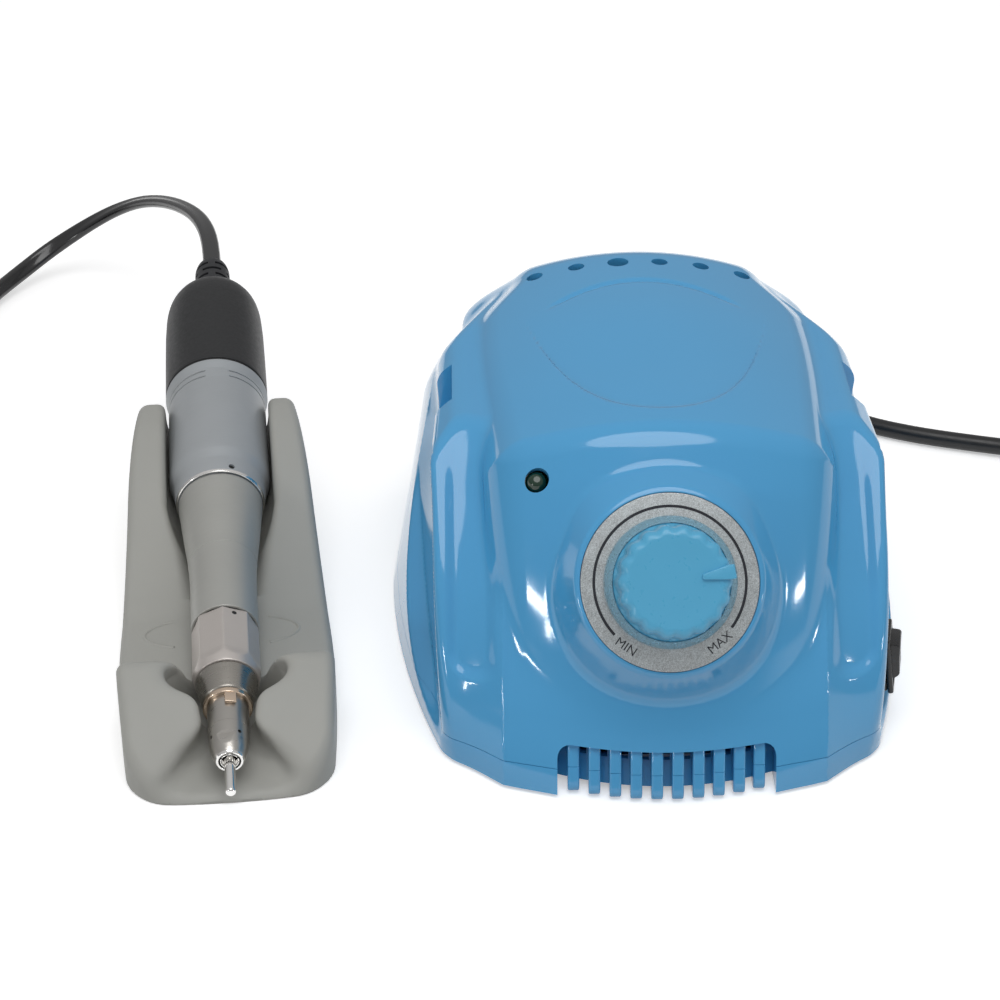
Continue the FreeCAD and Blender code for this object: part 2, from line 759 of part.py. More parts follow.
turned(
    "pot_body",
    [
        ("pot_shaft_diameter / 2 + run_clearance", "-case_wall - 4.2"),
        ("pot_shaft_diameter / 2 + run_clearance", "plate_thickness + nut_height + 0.6"),
        ("pot_bush_diameter / 2", "plate_thickness + nut_height + 0.6"), ("pot_bush_diameter / 2", "-case_wall"),
        ("pot_body_diameter / 2", "-case_wall"), ("pot_body_diameter / 2", "-case_wall - pot_body_length"),
        (0, "-case_wall - pot_body_length"), (0, "-case_wall - 4.2"),
    ],
    DIAL, "potentiometer_body",
)


def hexagon(across):
    radius = f"({across}) / 1.7320508"
    return [(f"{radius} * cos({60 * i})", f"{radius} * sin({60 * i})") for i in range(6)]


nut = padded("pot_nut_hex", "XY_Plane", hexagon("nut_across_flats"), "nut_height", DIAL * at(0, 0, value("plate_thickness")))
piece(
    cut("pot_nut_holed", nut, rod("nut_bore", "pot_bush_diameter", 10, DIAL)),
    "potentiometer_nut",
)

# Power lamp: its flange fits the hole in the wall, and its two legs point inwards
lamp_dome = turned(
    "lamp_dome",
    [
        (0, "-lamp_sink - 3.6"), ("lamp_hole_diameter / 2", "-lamp_sink - 3.6"), ("lamp_hole_diameter / 2", "-lamp_sink - 2.4"),
        ("lamp_diameter / 2", "-lamp_sink - 2.4"), ("lamp_diameter / 2", "-lamp_sink - 1.6"),
        ("lamp_diameter / 2 - 0.5", "-lamp_sink - 0.7"), ("lamp_diameter / 2 - 1.5", "-lamp_sink - 0.1"), (0, "-lamp_sink"),
    ],
    LAMP,
)
lamp_legs = [
    rod(
        f"lamp_leg_{side}", "lamp_leg_diameter", 8,
        LAMP * at(*values(f"{side} * lamp_leg_spacing / 2", 0, "-lamp_sink - 3 - 8")),
    )
    for side in (-1, 1)
]
piece(fused("lamp_whole", [lamp_dome] + lamp_legs), "power_lamp")

# Power switch
frame_plate = box("switch_plate", "-switch_height / 2", "-switch_width / 2", 0, "switch_height", "switch_width", 2.0, SWITCH)
frame_body = box(
    "switch_barrel", "-(switch_height / 2 - switch_bezel) + fit_clearance", "-(switch_width / 2 - switch_bezel) + fit_clearance",
    "-switch_depth", "switch_height - 2 * switch_bezel - 2 * fit_clearance", "switch_width - 2 * switch_bezel - 2 * fit_clearance",
    "switch_depth", SWITCH,
)
frame_well = box(
    "switch_well", "-rocker_height / 2 - 0.3", "-rocker_width / 2 - 0.25", -6, "rocker_height + 0.6", "rocker_width + 0.5", 12, SWITCH,
)
pin_bore = rod("pin_bore", 2.1, "rocker_width + 1.5", SWITCH * at(0, 0.5 * value("rocker_width + 1.5"), -0.6) * at(0, 0, 0, Vector(1, 0, 0), 90))
frame = cut("switch_frame_whole", fused("switch_frame_body", [frame_plate, frame_body]), fused("switch_frame_cuts", [frame_well, pin_bore]))
piece(frame, "switch_frame")
SWITCH_PIVOT = SWITCH * at(0, 0, -0.6) * at(0, 0, 0, Vector(0, 1, 0), value("rocker_throw"))
rocker_body = padded(
    "rocker_body",
    "XZ_Plane",
    [
        ("-rocker_height / 2", 1.4), ("-rocker_height / 2 + 0.6", 3.0), (0, 1.9), ("rocker_height / 2 - 0.6", 3.0),
        ("rocker_height / 2", 1.4), (2.5, -3.2), (-2.5, -3.2),
    ],
    "rocker_width", SWITCH_PIVOT, midplane=True,
)
rocker_pin = rod("rocker_pin", 2.0, "rocker_width + 1.3", SWITCH * at(0, 0.5 * value("rocker_width + 1.3"), -0.6) * at(0, 0, 0, Vector(1, 0, 0), 90))
piece(fused("rocker_whole", [rocker_body, rocker_pin]), "switch_rocker")

# Pieces inside the case: transformer, board with its parts, and the rear fittings
core_block = box("core_block", "-core_width / 2", "core_y - core_length / 2", 0, "core_width", "core_length", "core_height", INSIDE)
window_height = "core_height * 0.56"
core_window = [
    box(
        f"core_window_{side}", f"{side} * core_width / 4 - core_width / 12", "core_y - core_length", "core_height * 0.22",
        "core_width / 6", "2 * core_length", window_height, INSIDE,
    )
    for side in (-1, 1)
]
piece(cut("core_whole", core_block, fused("core_windows", core_window)), "transformer_core")
coil_block = box(
    "coil_block", "-core_width / 3 + 0.15", "core_y - coil_length / 2", "core_height * 0.22 + 0.15",
    "core_width * 2 / 3 - 0.3", "coil_length", f"{window_height} - 0.3", INSIDE,
)
core_leg = box(
    "core_leg", "-core_width / 6 - 0.15", "core_y - core_length / 2 - 0.15", 0, "core_width / 3 + 0.3",
    "core_length + 0.3", "core_height", INSIDE,
)
piece(cut("coil_whole", coil_block, core_leg), "transformer_winding")
strap_corners = [
    ("-core_width / 2 - 9", 0), ("core_width / 2 + 9", 0), ("core_width / 2 + 9", 1.2), ("core_width / 2 + 1.5", 1.2),
    ("core_width / 2 + 1.5", "core_height + 1.5"), ("-core_width / 2 - 1.5", "core_height + 1.5"),
    ("-core_width / 2 - 1.5", 1.2), ("-core_width / 2 - 9", 1.2),
]
strap = padded("strap_outer", "XZ_Plane", strap_corners, 14, INSIDE * at(0, value("core_y"), 0), midplane=True)
strap_room = box(
    "strap_room", "-core_width / 2 - 0.2", "core_y - 20", -1, "core_width + 0.4", 40, "core_height + 1.2", INSIDE,
)
strap_holes = [rod(f"strap_hole_{side}", "screw_diameter + 0.3", 6, strap_at(side, -2)) for side in (-1, 1)]
piece(cut("strap_whole", strap, fused("strap_cuts", [strap_room] + strap_holes)), "transformer_strap")


DOWN = at(0, 0, 0, Vector(1, 0, 0), 180)
strap_screws = [screw(f"strap_screw_{side}", 4.2, strap_at(side, 3.0) * DOWN) for side in (-1, 1)]
board = box("board_plate", "-board_width / 2", "board_y - board_length / 2", board_under, "board_width", "board_length", "board_thickness", INSIDE)
board_holes = [rod(f"board_hole_{i}", "screw_diameter + 0.3", 10, board_at(x, y, f"{board_under} - 3")) for i, (x, y) in enumerate(board_spots)]
piece(cut("board_whole", board, fused("board_holes_set", board_holes)), "circuit_board")
inner_screws = [
    screw(f"board_screw_{i}", 6, board_at(x, y, f"{board_under} + board_thickness + 1.8") * DOWN)
    for i, (x, y) in enumerate(board_spots)
]
group("inner_screws", strap_screws + inner_screws)
board_top = f"{board_under} + board_thickness"
can_sizes = [(-22, 36, 10, 16), (-22, 50, 10, 16), (-9, 55, 8, 12), (22, 55, 6.3, 11)]
group(
    "capacitors",
    [rod(f"can_{i}", d, height, INSIDE * at(x, y, value(board_top))) for i, (x, y, d, height) in enumerate(can_sizes)],
)
sink_plate = box("sink_plate", 4, 36, board_top, 3, 22, 18, INSIDE)
sink_fins = [box(f"sink_fin_{i}", 7, f"36 + {i} * 5", board_top, 8, 2, 18, INSIDE) for i in range(5)]
piece(fused("sink_whole", [sink_plate] + sink_fins), "heat_sink")
piece(box("regulator_block", -0.6, 42, f"{board_top} + 2", 4.6, 10, 14, INSIDE), "drive_transistor")

socket = turned(
    "socket",
    [
        ("socket_bore / 2", "-case_wall - 9"), ("socket_diameter / 2", "-case_wall - 9"), ("socket_diameter / 2", 0),
        ("socket_diameter / 2 + 2", 0), ("socket_diameter / 2 + 2", 1.6), ("socket_bore / 2", 1.6),
    ],
    REAR * at(value("socket_x"), -value("socket_z"), 0),
)
socket_back = rod("socket_back", "socket_diameter", 2.0, REAR * at(value("socket_x"), -value("socket_z"), -value("case_wall") - 9))
piece(fused("socket_whole", [socket, socket_back]), "handpiece_socket")
fuse = turned(
    "fuse_holder",
    [
        (3.0, "-case_wall - fuse_depth"), ("fuse_diameter / 2", "-case_wall - fuse_depth"), ("fuse_diameter / 2", 0),
        ("fuse_diameter / 2 + 1.5", 0), ("fuse_diameter / 2 + 1.5", 2), (3.0, 2),
    ],
    REAR * at(value("fuse_x"), -value("socket_z"), 0), "fuse_holder",
)
turned(
    "fuse_cap",
    [(0, -6), (2.9, -6), (2.9, 2.0), ("fuse_diameter / 2 - 0.4", 2.0), ("fuse_diameter / 2 - 0.4", 6), (0, 6)],
    REAR * at(value("fuse_x"), -value("socket_z"), 0), "fuse_cap",
)
turned("fuse_tube", ring(2.6, 0, "-case_wall - fuse_depth + 0.5", -6.2), REAR * at(value("fuse_x"), -value("socket_z"), 0), "fuse")
GLAND = REAR * at(value("gland_x"), -value("gland_z"), 0)
gland_outer = "mains_diameter / 2 + 2.7"
turned(
    "gland",
    [
        ("mains_diameter / 2", "-case_wall - 4"), (f"{gland_outer} + 1.4", "-case_wall - 4"), (f"{gland_outer} + 1.4", "-case_wall"),
        (gland_outer, "-case_wall"), (gland_outer, 0), (f"{gland_outer} + 1.4", 0), (f"{gland_outer} + 1.2", 2.5),
        ("mains_diameter / 2 + 1.1", "gland_length"), ("mains_diameter / 2", "gland_length"),
    ],
    GLAND, "mains_strain_relief",
)

# Motor half of the handpiece, turned about the axis that runs back from the tool
barrel_wall = 1.3
motor_radius = "motor_diameter / 2"
piece(
    turned(
        "motor_tube",
        [
            (7.4, "sleeve_rear_at + 0.3"), ("motor_front_diameter / 2 - 0.4", "sleeve_rear_at + 0.3"),
            ("motor_front_diameter / 2", "sleeve_rear_at + 0.9"), (f"{motor_radius} - 1.1", "barrel_front_at - 1.6"),
            (motor_radius, "barrel_front_at"), (motor_radius, "barrel_rear_at - 7.6"),
            (f"{motor_radius} - 0.6", "barrel_rear_at - 7.2"), (f"{motor_radius} - 0.6", "barrel_rear_at - 5.6"),
            (motor_radius, "barrel_rear_at - 5.2"), (motor_radius, "barrel_rear_at - 4.2"),
            (f"{motor_radius} - 0.6", "barrel_rear_at - 3.8"), (f"{motor_radius} - 0.6", "barrel_rear_at - 2.8"),
            (motor_radius, "barrel_rear_at - 2.4"), (motor_radius, "barrel_rear_at"),
            (f"{motor_radius} - {barrel_wall}", "barrel_rear_at"), (f"{motor_radius} - {barrel_wall}", "barrel_front_at + 1.5"),
            (7.4, "barrel_front_at + 1.5"),
        ],
        HAND,
    ),
    "motor_housing",
)
turned(
    "coupling",
    [
        (5.0, "sleeve_rear_at - coupling_length"), ("coupling_diameter / 2 - 0.6", "sleeve_rear_at - coupling_length"),
        ("coupling_diameter / 2", "sleeve_rear_at - coupling_length + 0.6"), ("coupling_diameter / 2", "sleeve_rear_at - 0.2"),
        (7.4, "sleeve_rear_at - 0.2"), (7.4, "barrel_front_at + 1.5"), (6.6, "barrel_front_at + 1.5"),
        (6.6, "sleeve_rear_at + 2"), (5.0, "sleeve_rear_at + 2"),
    ],
    HAND, "coupling_nose",
)
cap_radius = "cap_diameter / 2"
cap_wall = 1.6
dome = [(math.sin(math.radians(a)), math.cos(math.radians(a))) for a in (75, 60, 45, 30, 15)]
dome_start, dome_rise = "cap_rear_at - 14", 14.0
outer_dome = [(f"9.0 + ({cap_radius} - 9.0) * {x:.4f}", f"{dome_start} + {dome_rise * y:.3f}") for x, y in dome]
cap_hole = "lead_diameter / 2 + 1.6"
turned(
    "cap",
    [(f"{cap_radius} - {cap_wall}", "barrel_rear_at"), (cap_radius, "barrel_rear_at"), (cap_radius, dome_start)]
    + outer_dome
    + [
        (9.0, "cap_rear_at"), (cap_hole, "cap_rear_at"), (cap_hole, "cap_rear_at - 2"), (7.6, "cap_rear_at - 2"),
        (f"{cap_radius} - {cap_wall} - 0.6", f"{dome_start} + 1"), (f"{cap_radius} - {cap_wall}", dome_start),
    ],
    HAND, "rear_cap",
)
relief_turns = []
rib_number, rib_step = 5, 2.7
for i in range(rib_number):
    low = f"cap_rear_at + 1.2 + {rib_step} * {i}"
    radius = f"relief_diameter / 2 - {0.16 * i:.2f}"
    relief_turns += [
        (f"{radius} - 0.9", low), (radius, f"{low} + 0.35"), (radius, f"{low} + 1.55"), (f"{radius} - 0.9", f"{low} + 1.9"),
    ]
turned(
    "relief",
    [("lead_diameter / 2", "cap_rear_at - 5"), (f"{cap_hole} + 1.6", "cap_rear_at - 5"), (f"{cap_hole} + 1.6", "cap_rear_at - 2"),
     (cap_hole, "cap_rear_at - 2"), (cap_hole, "cap_rear_at"), ("relief_diameter / 2", "cap_rear_at"),
     ("relief_diameter / 2", "cap_rear_at + 0.8")]
    + relief_turns
    + [("lead_diameter / 2 + 0.7", "relief_rear_at"), ("lead_diameter / 2", "relief_rear_at")],
    HAND, "lead_strain_relief",
)

magnet_ring = turned("magnet_ring", ring("motor_diameter / 2 - 1.4", "rotor_diameter / 2 + 0.5", "barrel_front_at + 4", "barrel_rear_at - 5"), HAND)
magnet_gap = box("magnet_gap", -2.2, -20, "barrel_front_at", 4.4, 40, 40, HAND)
piece(cut("magnets", magnet_ring, magnet_gap), "field_magnets")
rotor_core = rod("rotor_stack", "rotor_diameter", "barrel_rear_at - barrel_front_at - 11", HAND * at(0, 0, value("barrel_front_at + 5")))
rotor_slots = [
    box(
        f"rotor_slot_{i}", "rotor_diameter / 2 - 3.2", -0.6, "barrel_front_at", 5, 1.2, 40,
        HAND * at(0, 0, 0, Vector(0, 0, 1), 60 * i),
    )
    for i in range(6)
]
piece(
    cut("rotor_slotted", rotor_core, fused("rotor_slots", rotor_slots + [rod("rotor_bore", "rotor_shaft_diameter", 60, HAND * at(0, 0, value("barrel_front_at")))])),
    "rotor_core",
)
turned(
    "shaft",
    [
        (0, "sleeve_rear_at - 8"), ("rotor_shaft_diameter / 2", "sleeve_rear_at - 8"),
        ("rotor_shaft_diameter / 2", "barrel_rear_at + 14"), (0, "barrel_rear_at + 14"),
    ],
    HAND, "rotor_shaft",
)
winding_ends = [
    turned(f"winding_end_{i}", ring(6.8, 2.0, low, f"{low} + 1.6"), HAND)
    for i, low in enumerate(("barrel_front_at + 3.4", "barrel_rear_at - 6"))
]
group("rotor_windings", winding_ends)
commutator_low = "barrel_rear_at - 4"
turned("commutator_ring", ring(4.0, "rotor_shaft_diameter / 2", commutator_low, f"{commutator_low} + 8"), HAND, "commutator")
holder_ring = turned("holder_ring", ring("motor_diameter / 2 - 1.4", 8.2, f"{commutator_low} + 1.2", f"{commutator_low} + 6.8"), HAND)
brush_room = box("brush_room", -14, -2.2, f"{commutator_low} + 1.8", 28, 4.4, 4.4, HAND)
piece(cut("holder_whole", holder_ring, brush_room), "brush_holder")
group(
    "carbon_brushes",
    [
        box(f"brush_{s}", "4.05" if s > 0 else "-4.05 - 5.5", -2.0, f"{commutator_low} + 2", 5.5, 4.0, 4.0, HAND)
        for s in (-1, 1)
    ],
)
bearing_seats = [("motor_front", 6.6, "rotor_shaft_diameter / 2", "sleeve_rear_at + 2.2"), ("motor_rear", 6.0, "rotor_shaft_diameter / 2", "barrel_rear_at + 8.5")]


def bearing(name, outer, inner, low, width=4.0):
    """Ball bearing as one ring with shallow shield grooves in both faces."""
    mid = f"(({outer}) + ({inner})) / 2"
    groove = f"(({outer}) - ({inner})) * 0.18"
    high = f"{low} + {width}"
    clear = f"{inner} + run_clearance"
    return turned(
        name,
        [
            (clear, low), (f"{mid} - {groove}", low), (f"{mid} - {groove}", f"{low} + 0.5"), (f"{mid} + {groove}", f"{low} + 0.5"),
            (f"{mid} + {groove}", low), (outer, low), (outer, high), (f"{mid} + {groove}", high),
            (f"{mid} + {groove}", f"{high} - 0.5"), (f"{mid} - {groove}", f"{high} - 0.5"), (f"{mid} - {groove}", high), (clear, high),
        ],
        HAND,
    )


group("motor_bearings", [bearing(*seat) for seat in bearing_seats])
turned("end_bell", ring(f"{cap_radius} - {cap_wall}", 6.0, "barrel_rear_at + 8", "barrel_rear_at + 13"), HAND, "motor_end_plate")
dog = padded(
    "dog_blade", "XY_Plane", [(-3.2, -0.9), (3.2, -0.9), (3.2, 0.9), (-3.2, 0.9)], 6.0,
    HAND * at(0, 0, value("sleeve_rear_at - 14")),
)
dog_hub = rod("dog_hub", 6.4, 5.8, HAND * at(0, 0, value("sleeve_rear_at - 8.2")))
dog_bore = rod("dog_bore", "rotor_shaft_diameter", 12, HAND * at(0, 0, value("sleeve_rear_at - 8")))
piece(cut("dog_whole", fused("dog_body", [dog, dog_hub]), dog_bore), "drive_dog")

# Straight half of the handpiece, which pulls off the coupling nose
sleeve_bore = "coupling_diameter / 2 + fit_clearance"
bore_end = "sleeve_rear_at - coupling_length - 2"
piece(
    turned(
        "sleeve_tube",
        [
            ("spindle_diameter / 2 + 3.4", "collar_rear_at + 0.1"), ("sleeve_waist_diameter / 2", "collar_rear_at + 0.1"),
            ("sleeve_waist_diameter / 2", "collar_rear_at + 17"), ("sleeve_waist_diameter / 2 + 0.35", "collar_rear_at + 24"),
            ("sleeve_waist_diameter / 2 + 1.1", "collar_rear_at + 31"), ("sleeve_rear_diameter / 2 - 0.45", "sleeve_rear_at - 6"),
            ("sleeve_rear_diameter / 2", "sleeve_rear_at - 1.5"), ("sleeve_rear_diameter / 2 - 0.3", "sleeve_rear_at"),
            (sleeve_bore, "sleeve_rear_at"), (sleeve_bore, bore_end), ("spindle_diameter / 2 + 3.4", bore_end),
        ],
        HAND,
    ),
    "handpiece_sleeve",
)
collar_ring = turned(
    "collar_ring",
    [
        ("spindle_diameter / 2 + 3.6", "collar_front_at"), ("collar_diameter / 2 - 0.9", "collar_front_at"),
        ("collar_diameter / 2", "collar_front_at + 2.5"), ("collar_diameter / 2", "collar_rear_at - 0.2"),
        ("collar_diameter / 2 - 0.3", "collar_rear_at"), ("spindle_diameter / 2 + 3.6", "collar_rear_at"),
    ],
    HAND,
)
collar_flutes = [
    rod(
        f"collar_flute_{i}", 8.0, 30,
        HAND * at(0, 0, 0, Vector(0, 0, 1), 60 * i - 90) * at(*values("collar_diameter / 2 + 3.45", 0, "collar_front_at - 18")),
    )
    for i in range(6)
]
piece(cut("collar_whole", collar_ring, fused("collar_flutes", collar_flutes)), "twist_collar")
piece(
    turned(
        "cone",
        [
            ("spindle_diameter / 2 + 1.4", "ring_rear_at"), ("cone_front_diameter / 2", "ring_rear_at"),
            ("cone_rear_diameter / 2 - 0.15", "collar_front_at - 3.4"), ("cone_rear_diameter / 2 - 0.45", "collar_front_at - 3.2"),
            ("cone_rear_diameter / 2 - 0.45", "collar_front_at - 2.9"), ("cone_rear_diameter / 2", "collar_front_at - 2.7"),
            ("cone_rear_diameter / 2", "collar_front_at - 0.1"), ("spindle_diameter / 2 + 3.3", "collar_front_at - 0.1"),
            ("spindle_diameter / 2 + 3.3", "collar_rear_at"), ("spindle_diameter / 2 + 1.4", "collar_rear_at"),
        ],
        HAND,
    ),
    "nose_cone",
)
ring_body = turned("lock_ring_turned", ring("lock_ring_diameter / 2", "nose_diameter / 2 - 0.3", "nose_rear_at", "ring_rear_at"), HAND)
ring_notch = box("ring_notch", -1.5, -12, "nose_rear_at - 1", 3.0, 8, 2.4, HAND)
piece(cut("ring_whole", ring_body, ring_notch), "lock_ring")
nose_turned = turned(
    "nose_turned",
    [
        ("shank_diameter / 2 + 1.0", "nose_tip_at"), ("tip_diameter / 2", "nose_tip_at"), ("tip_diameter / 2 + 0.25", "nose_tip_at + 0.5"),
        ("nose_diameter / 2 - 1.25", "nose_tip_at + 2.2"), ("nose_diameter / 2 - 0.55", "nose_tip_at + 4.2"),
        ("nose_diameter / 2 - 0.12", "nose_tip_at + 6.6"), ("nose_diameter / 2", "nose_tip_at + 8.6"),
        ("nose_diameter / 2", "nose_rear_at"), ("nose_diameter / 2 - 0.3", "nose_rear_at"),
        ("nose_diameter / 2 - 0.3", "ring_rear_at"), ("spindle_diameter / 2 + 0.9", "ring_rear_at"),
        ("spindle_diameter / 2 + 0.9", "nose_tip_at + 5"), ("shank_diameter / 2 + 1.0", "nose_tip_at + 5"),
    ],
    HAND,
)
nose_flat = box("nose_flat", -6, "-nose_diameter / 2 - 3", "nose_tip_at + 5.2", 12, 3.45, 2.6, HAND)
nose_holes = [
    rod(f"nose_hole_{s}", 0.9, 3, HAND * at(0, 0, 0, Vector(0, 0, 1), s) * at(0, -value("nose_diameter / 2") - 1, value("nose_tip_at + 6.6")) * at(0, 0, 0, Vector(1, 0, 0), -90))
    for s in (-62, 48)
]
piece(cut("nose_whole", nose_turned, fused("nose_cuts", [nose_flat] + nose_holes)), "nose_barrel")
spindle_rear = "sleeve_rear_at - 16"
collet_radius = "shank_diameter / 2 + 0.85"
spindle_tube = turned(
    "spindle_tube",
    [
        (collet_radius, "nose_tip_at + 5.4"), ("spindle_diameter / 2", "nose_tip_at + 5.4"), ("spindle_diameter / 2", spindle_rear),
        (0, spindle_rear), (0, "shank_length + 2"), (collet_radius, "shank_length + 2"),
    ],
    HAND,
)
piece(spindle_tube, "spindle")
fork_disc = rod("fork_disc", 8.6, 7.4, HAND * at(0, 0, value(spindle_rear)))
fork_slot = box("fork_slot", -6, -1.05, f"{spindle_rear} + 1.8", 12, 2.1, 10, HAND)
piece(cut("fork_whole", fork_disc, fork_slot), "drive_fork")
collet_turned = turned(
    "collet_turned",
    ring("shank_diameter / 2 + 0.8", "shank_diameter / 2 + 0.02", "nose_tip_at - 0.6", "shank_length - 4"),
    HAND,
)
collet_slits = [
    box(f"collet_slit_{i}", 0, -0.25, "nose_tip_at - 2", 4, 0.5, 16, HAND * at(0, 0, 0, Vector(0, 0, 1), 120 * i + 90)) for i in range(3)
]
piece(cut("collet_whole", collet_turned, fused("collet_slits", collet_slits)), "collet")
spindle_seats = [
    ("spindle_front", "spindle_diameter / 2 + 0.9", "spindle_diameter / 2", "nose_tip_at + 6.2"),
    ("spindle_rear", "spindle_diameter / 2 + 3.4", "spindle_diameter / 2", f"{bore_end} - 5"),
]
group("spindle_bearings", [bearing(*seat) for seat in spindle_seats])
turned(
    "shank",
    [
        (0, 0), ("shank_diameter / 2 - 0.5", 0.1), ("shank_diameter / 2 - 0.15", 0.4), ("shank_diameter / 2", 0.9),
        ("shank_diameter / 2", "shank_length"), (0, "shank_length"),
    ],
    HAND, "tool_shank",
)

# Handpiece rest: a block under the handpiece with rear posts, a low floor and two front lobes


def rest_side():
    """Side view of the rest as (distance along the handpiece, height)."""
    front, length, low, lobe, post = values(
        "rest_front_at", "rest_length", "rest_floor_height", "rest_lobe_height", "rest_post_height"
    )
    rear = front + length
    edges = [
        line((0, front, 0), (0, front, 3)),
        arc((0, front, 3), (0, front + 14, 14), (0, front + 27, lobe)),
        arc((0, front + 27, lobe), (0, front + 30, lobe - 1.2), (0, front + 32, lobe - 4.5)),
        line((0, front + 32, lobe - 4.5), (0, front + 34.5, low)),
        line((0, front + 34.5, low), (0, front + 62, low + 0.5)),
        arc((0, front + 62, low + 0.5), (0, front + 78, low + 6.5), (0, front + 92, post - 9)),
        arc((0, front + 92, post - 9), (0, front + 106, post - 1.8), (0, rear - 9, post)),
        arc((0, rear - 9, post), (0, rear - 2.6, post - 2.6), (0, rear, post - 9)),
        line((0, rear, post - 9), (0, rear, 0)),
        line((0, rear, 0), (0, front, 0)),
    ]
    return Part.Face(Part.Wire(edges))


def rest_plan():
    front, length = values("rest_front_at", "rest_length")
    first, middle, rear = values("rest_front_width / 2", "rest_middle_width / 2", "rest_rear_width / 2")
    corner = 9.0
    y_mid, y_end = front + 46, front + length
    right = [
        [(rear - 5, y_end), (rear - 1.4, y_end - 1.4), (rear, y_end - 5)],
        [(rear, y_end - 5), ((rear + middle) / 2 + 0.9, (y_end + y_mid) / 2), (middle, y_mid)],
        [(middle, y_mid), (middle - 0.4, (y_mid + front + corner) / 2), (first + 0.8, front + corner)],
        [(first + 0.8, front + corner), (first - 2.2, front + 2.6), (first - corner, front + 0.4)],
    ]
    return Part.Face(plan_loop(right, 0, front))


cradle_profile = [
    ("lock_ring_diameter / 2 + 0.4", -12), ("lock_ring_diameter / 2 + 0.4", 3),
    ("collar_diameter / 2 + rest_clearance", 13), ("collar_diameter / 2 + rest_clearance", "collar_rear_at + 3"),
    ("collar_diameter / 2 + rest_clearance + 0.1", "sleeve_rear_at - coupling_length - 4"),
    ("sleeve_rear_diameter / 2 + 0.5", "sleeve_rear_at - coupling_length - 3.5"),
    ("sleeve_rear_diameter / 2 + 0.6", "sleeve_rear_at - 1"), ("motor_diameter / 2 + rest_clearance - 0.1", "sleeve_rear_at - 0.5"),
    ("motor_diameter / 2 + rest_clearance", "barrel_rear_at + 20"), (0, "barrel_rear_at + 20"), (0, -12),
]
cradle = turned("cradle_cut", cradle_profile, HAND)
block = solid_of(
    "rest_block",
    rest_side().extrude(Vector(60, 0, 0)).translated(Vector(-30, 0, 0)).common(rest_plan().extrude(Vector(0, 0, 60))),
    REST,
)

def open_channel():
    """Room straight above the cradle, as wide as the handpiece at every station, so that it lifts out."""
    across = REST.Rotation.multVec(Vector(1, 0, 0))
    left, right = [], []
    for radius, station in cradle_profile[:-2]:
        centre = HAND.multVec(Vector(0, 0, value(station)))
        left.append(centre - across * value(radius))
        right.append(centre + across * value(radius))
    corners = left + right[::-1]
    return Part.Face(Part.makePolygon(corners + corners[:1])).extrude(Vector(0, 0, 60))


channel = solid_of("lift_channel", open_channel())
funnel = doc.addObject("Part::Cone", "front_funnel")
bind(funnel, Radius1="1.5", Radius2="17", Height="34")
funnel.Placement = HAND * at(0, 4.0, value("ring_rear_at") + 4) * at(0, 0, 0, Vector(1, 0, 0), 180)
rest = cut("rest_whole", cut("rest_channel", cut("rest_cradle", block, cradle), channel), funnel)
piece(rest, "handpiece_rest")

# Cords: free stretches as straight runs joined by arcs, coils as real loops


def rounded_path(name, points):
    """Straight runs and tangent arcs through the route, each arc as large as its runs allow."""
    spots = [Vector(*point) for point in points]
    edges, radii, start = [], [], spots[0]
    for before, corner, after in zip(spots, spots[1:], spots[2:]):
        reach = 0.45 * min((before - corner).Length, (after - corner).Length)
        enter, middle, leave = bend(before, corner, after, reach)
        edges.append(Part.LineSegment(start, enter).toShape())
        edges.append(Part.Arc(enter, middle, leave).toShape())
        radii.append(round(edges[-1].Curve.Radius, 1))
        start = leave
    edges.append(Part.LineSegment(start, spots[-1]).toShape())
    print(name, "radii", radii)
    return Part.Wire(edges)


def tube(name, path, diameter):
    """Round tube along a path, which reports its length and how true its volume is."""
    first = path.Edges[0]
    start, ahead = first.Vertexes[0].Point, first.Vertexes[1].Point
    section = Part.Wire(Part.makeCircle(diameter / 2, start, (ahead - start).normalize()))
    solid = path.makePipeShell([section], True, False)
    expected = math.pi * diameter ** 2 / 4 * path.Length
    print(name, "length", round(path.Length, 1), "volume ratio", round(solid.Volume / expected, 4))
    return solid


def biarc(start, start_way, end, end_way):
    """Two arcs that join two points in given directions."""
    chord = end - start
    ways = start_way + end_way
    spread = 2 * (1 - start_way.dot(end_way))
    along = chord.dot(ways)
    if spread < 1e-9:
        reach = chord.dot(chord) / (2 * along) / 2
    else:
        reach = (math.sqrt(along ** 2 + spread * chord.dot(chord)) - along) / spread
    near, far = start + start_way * reach, end - end_way * reach
    joint = (near + far) / 2
    edges = []
    for first, corner, last in ((start, near, joint), (joint, far, end)):
        half = (last - first).Length / 2
        inward = (first + last) / 2 - corner
        height = inward.Length
        rise = half * math.tan(math.atan2(height, half) / 2)
        middle = (first + last) / 2 - inward * (rise / height)
        edges.append(Part.Arc(first, middle, last).toShape())
    return edges


def smooth(share):
    share = min(1.0, max(0.0, share))
    return share * share * (3 - 2 * share)


LAYERS = 4


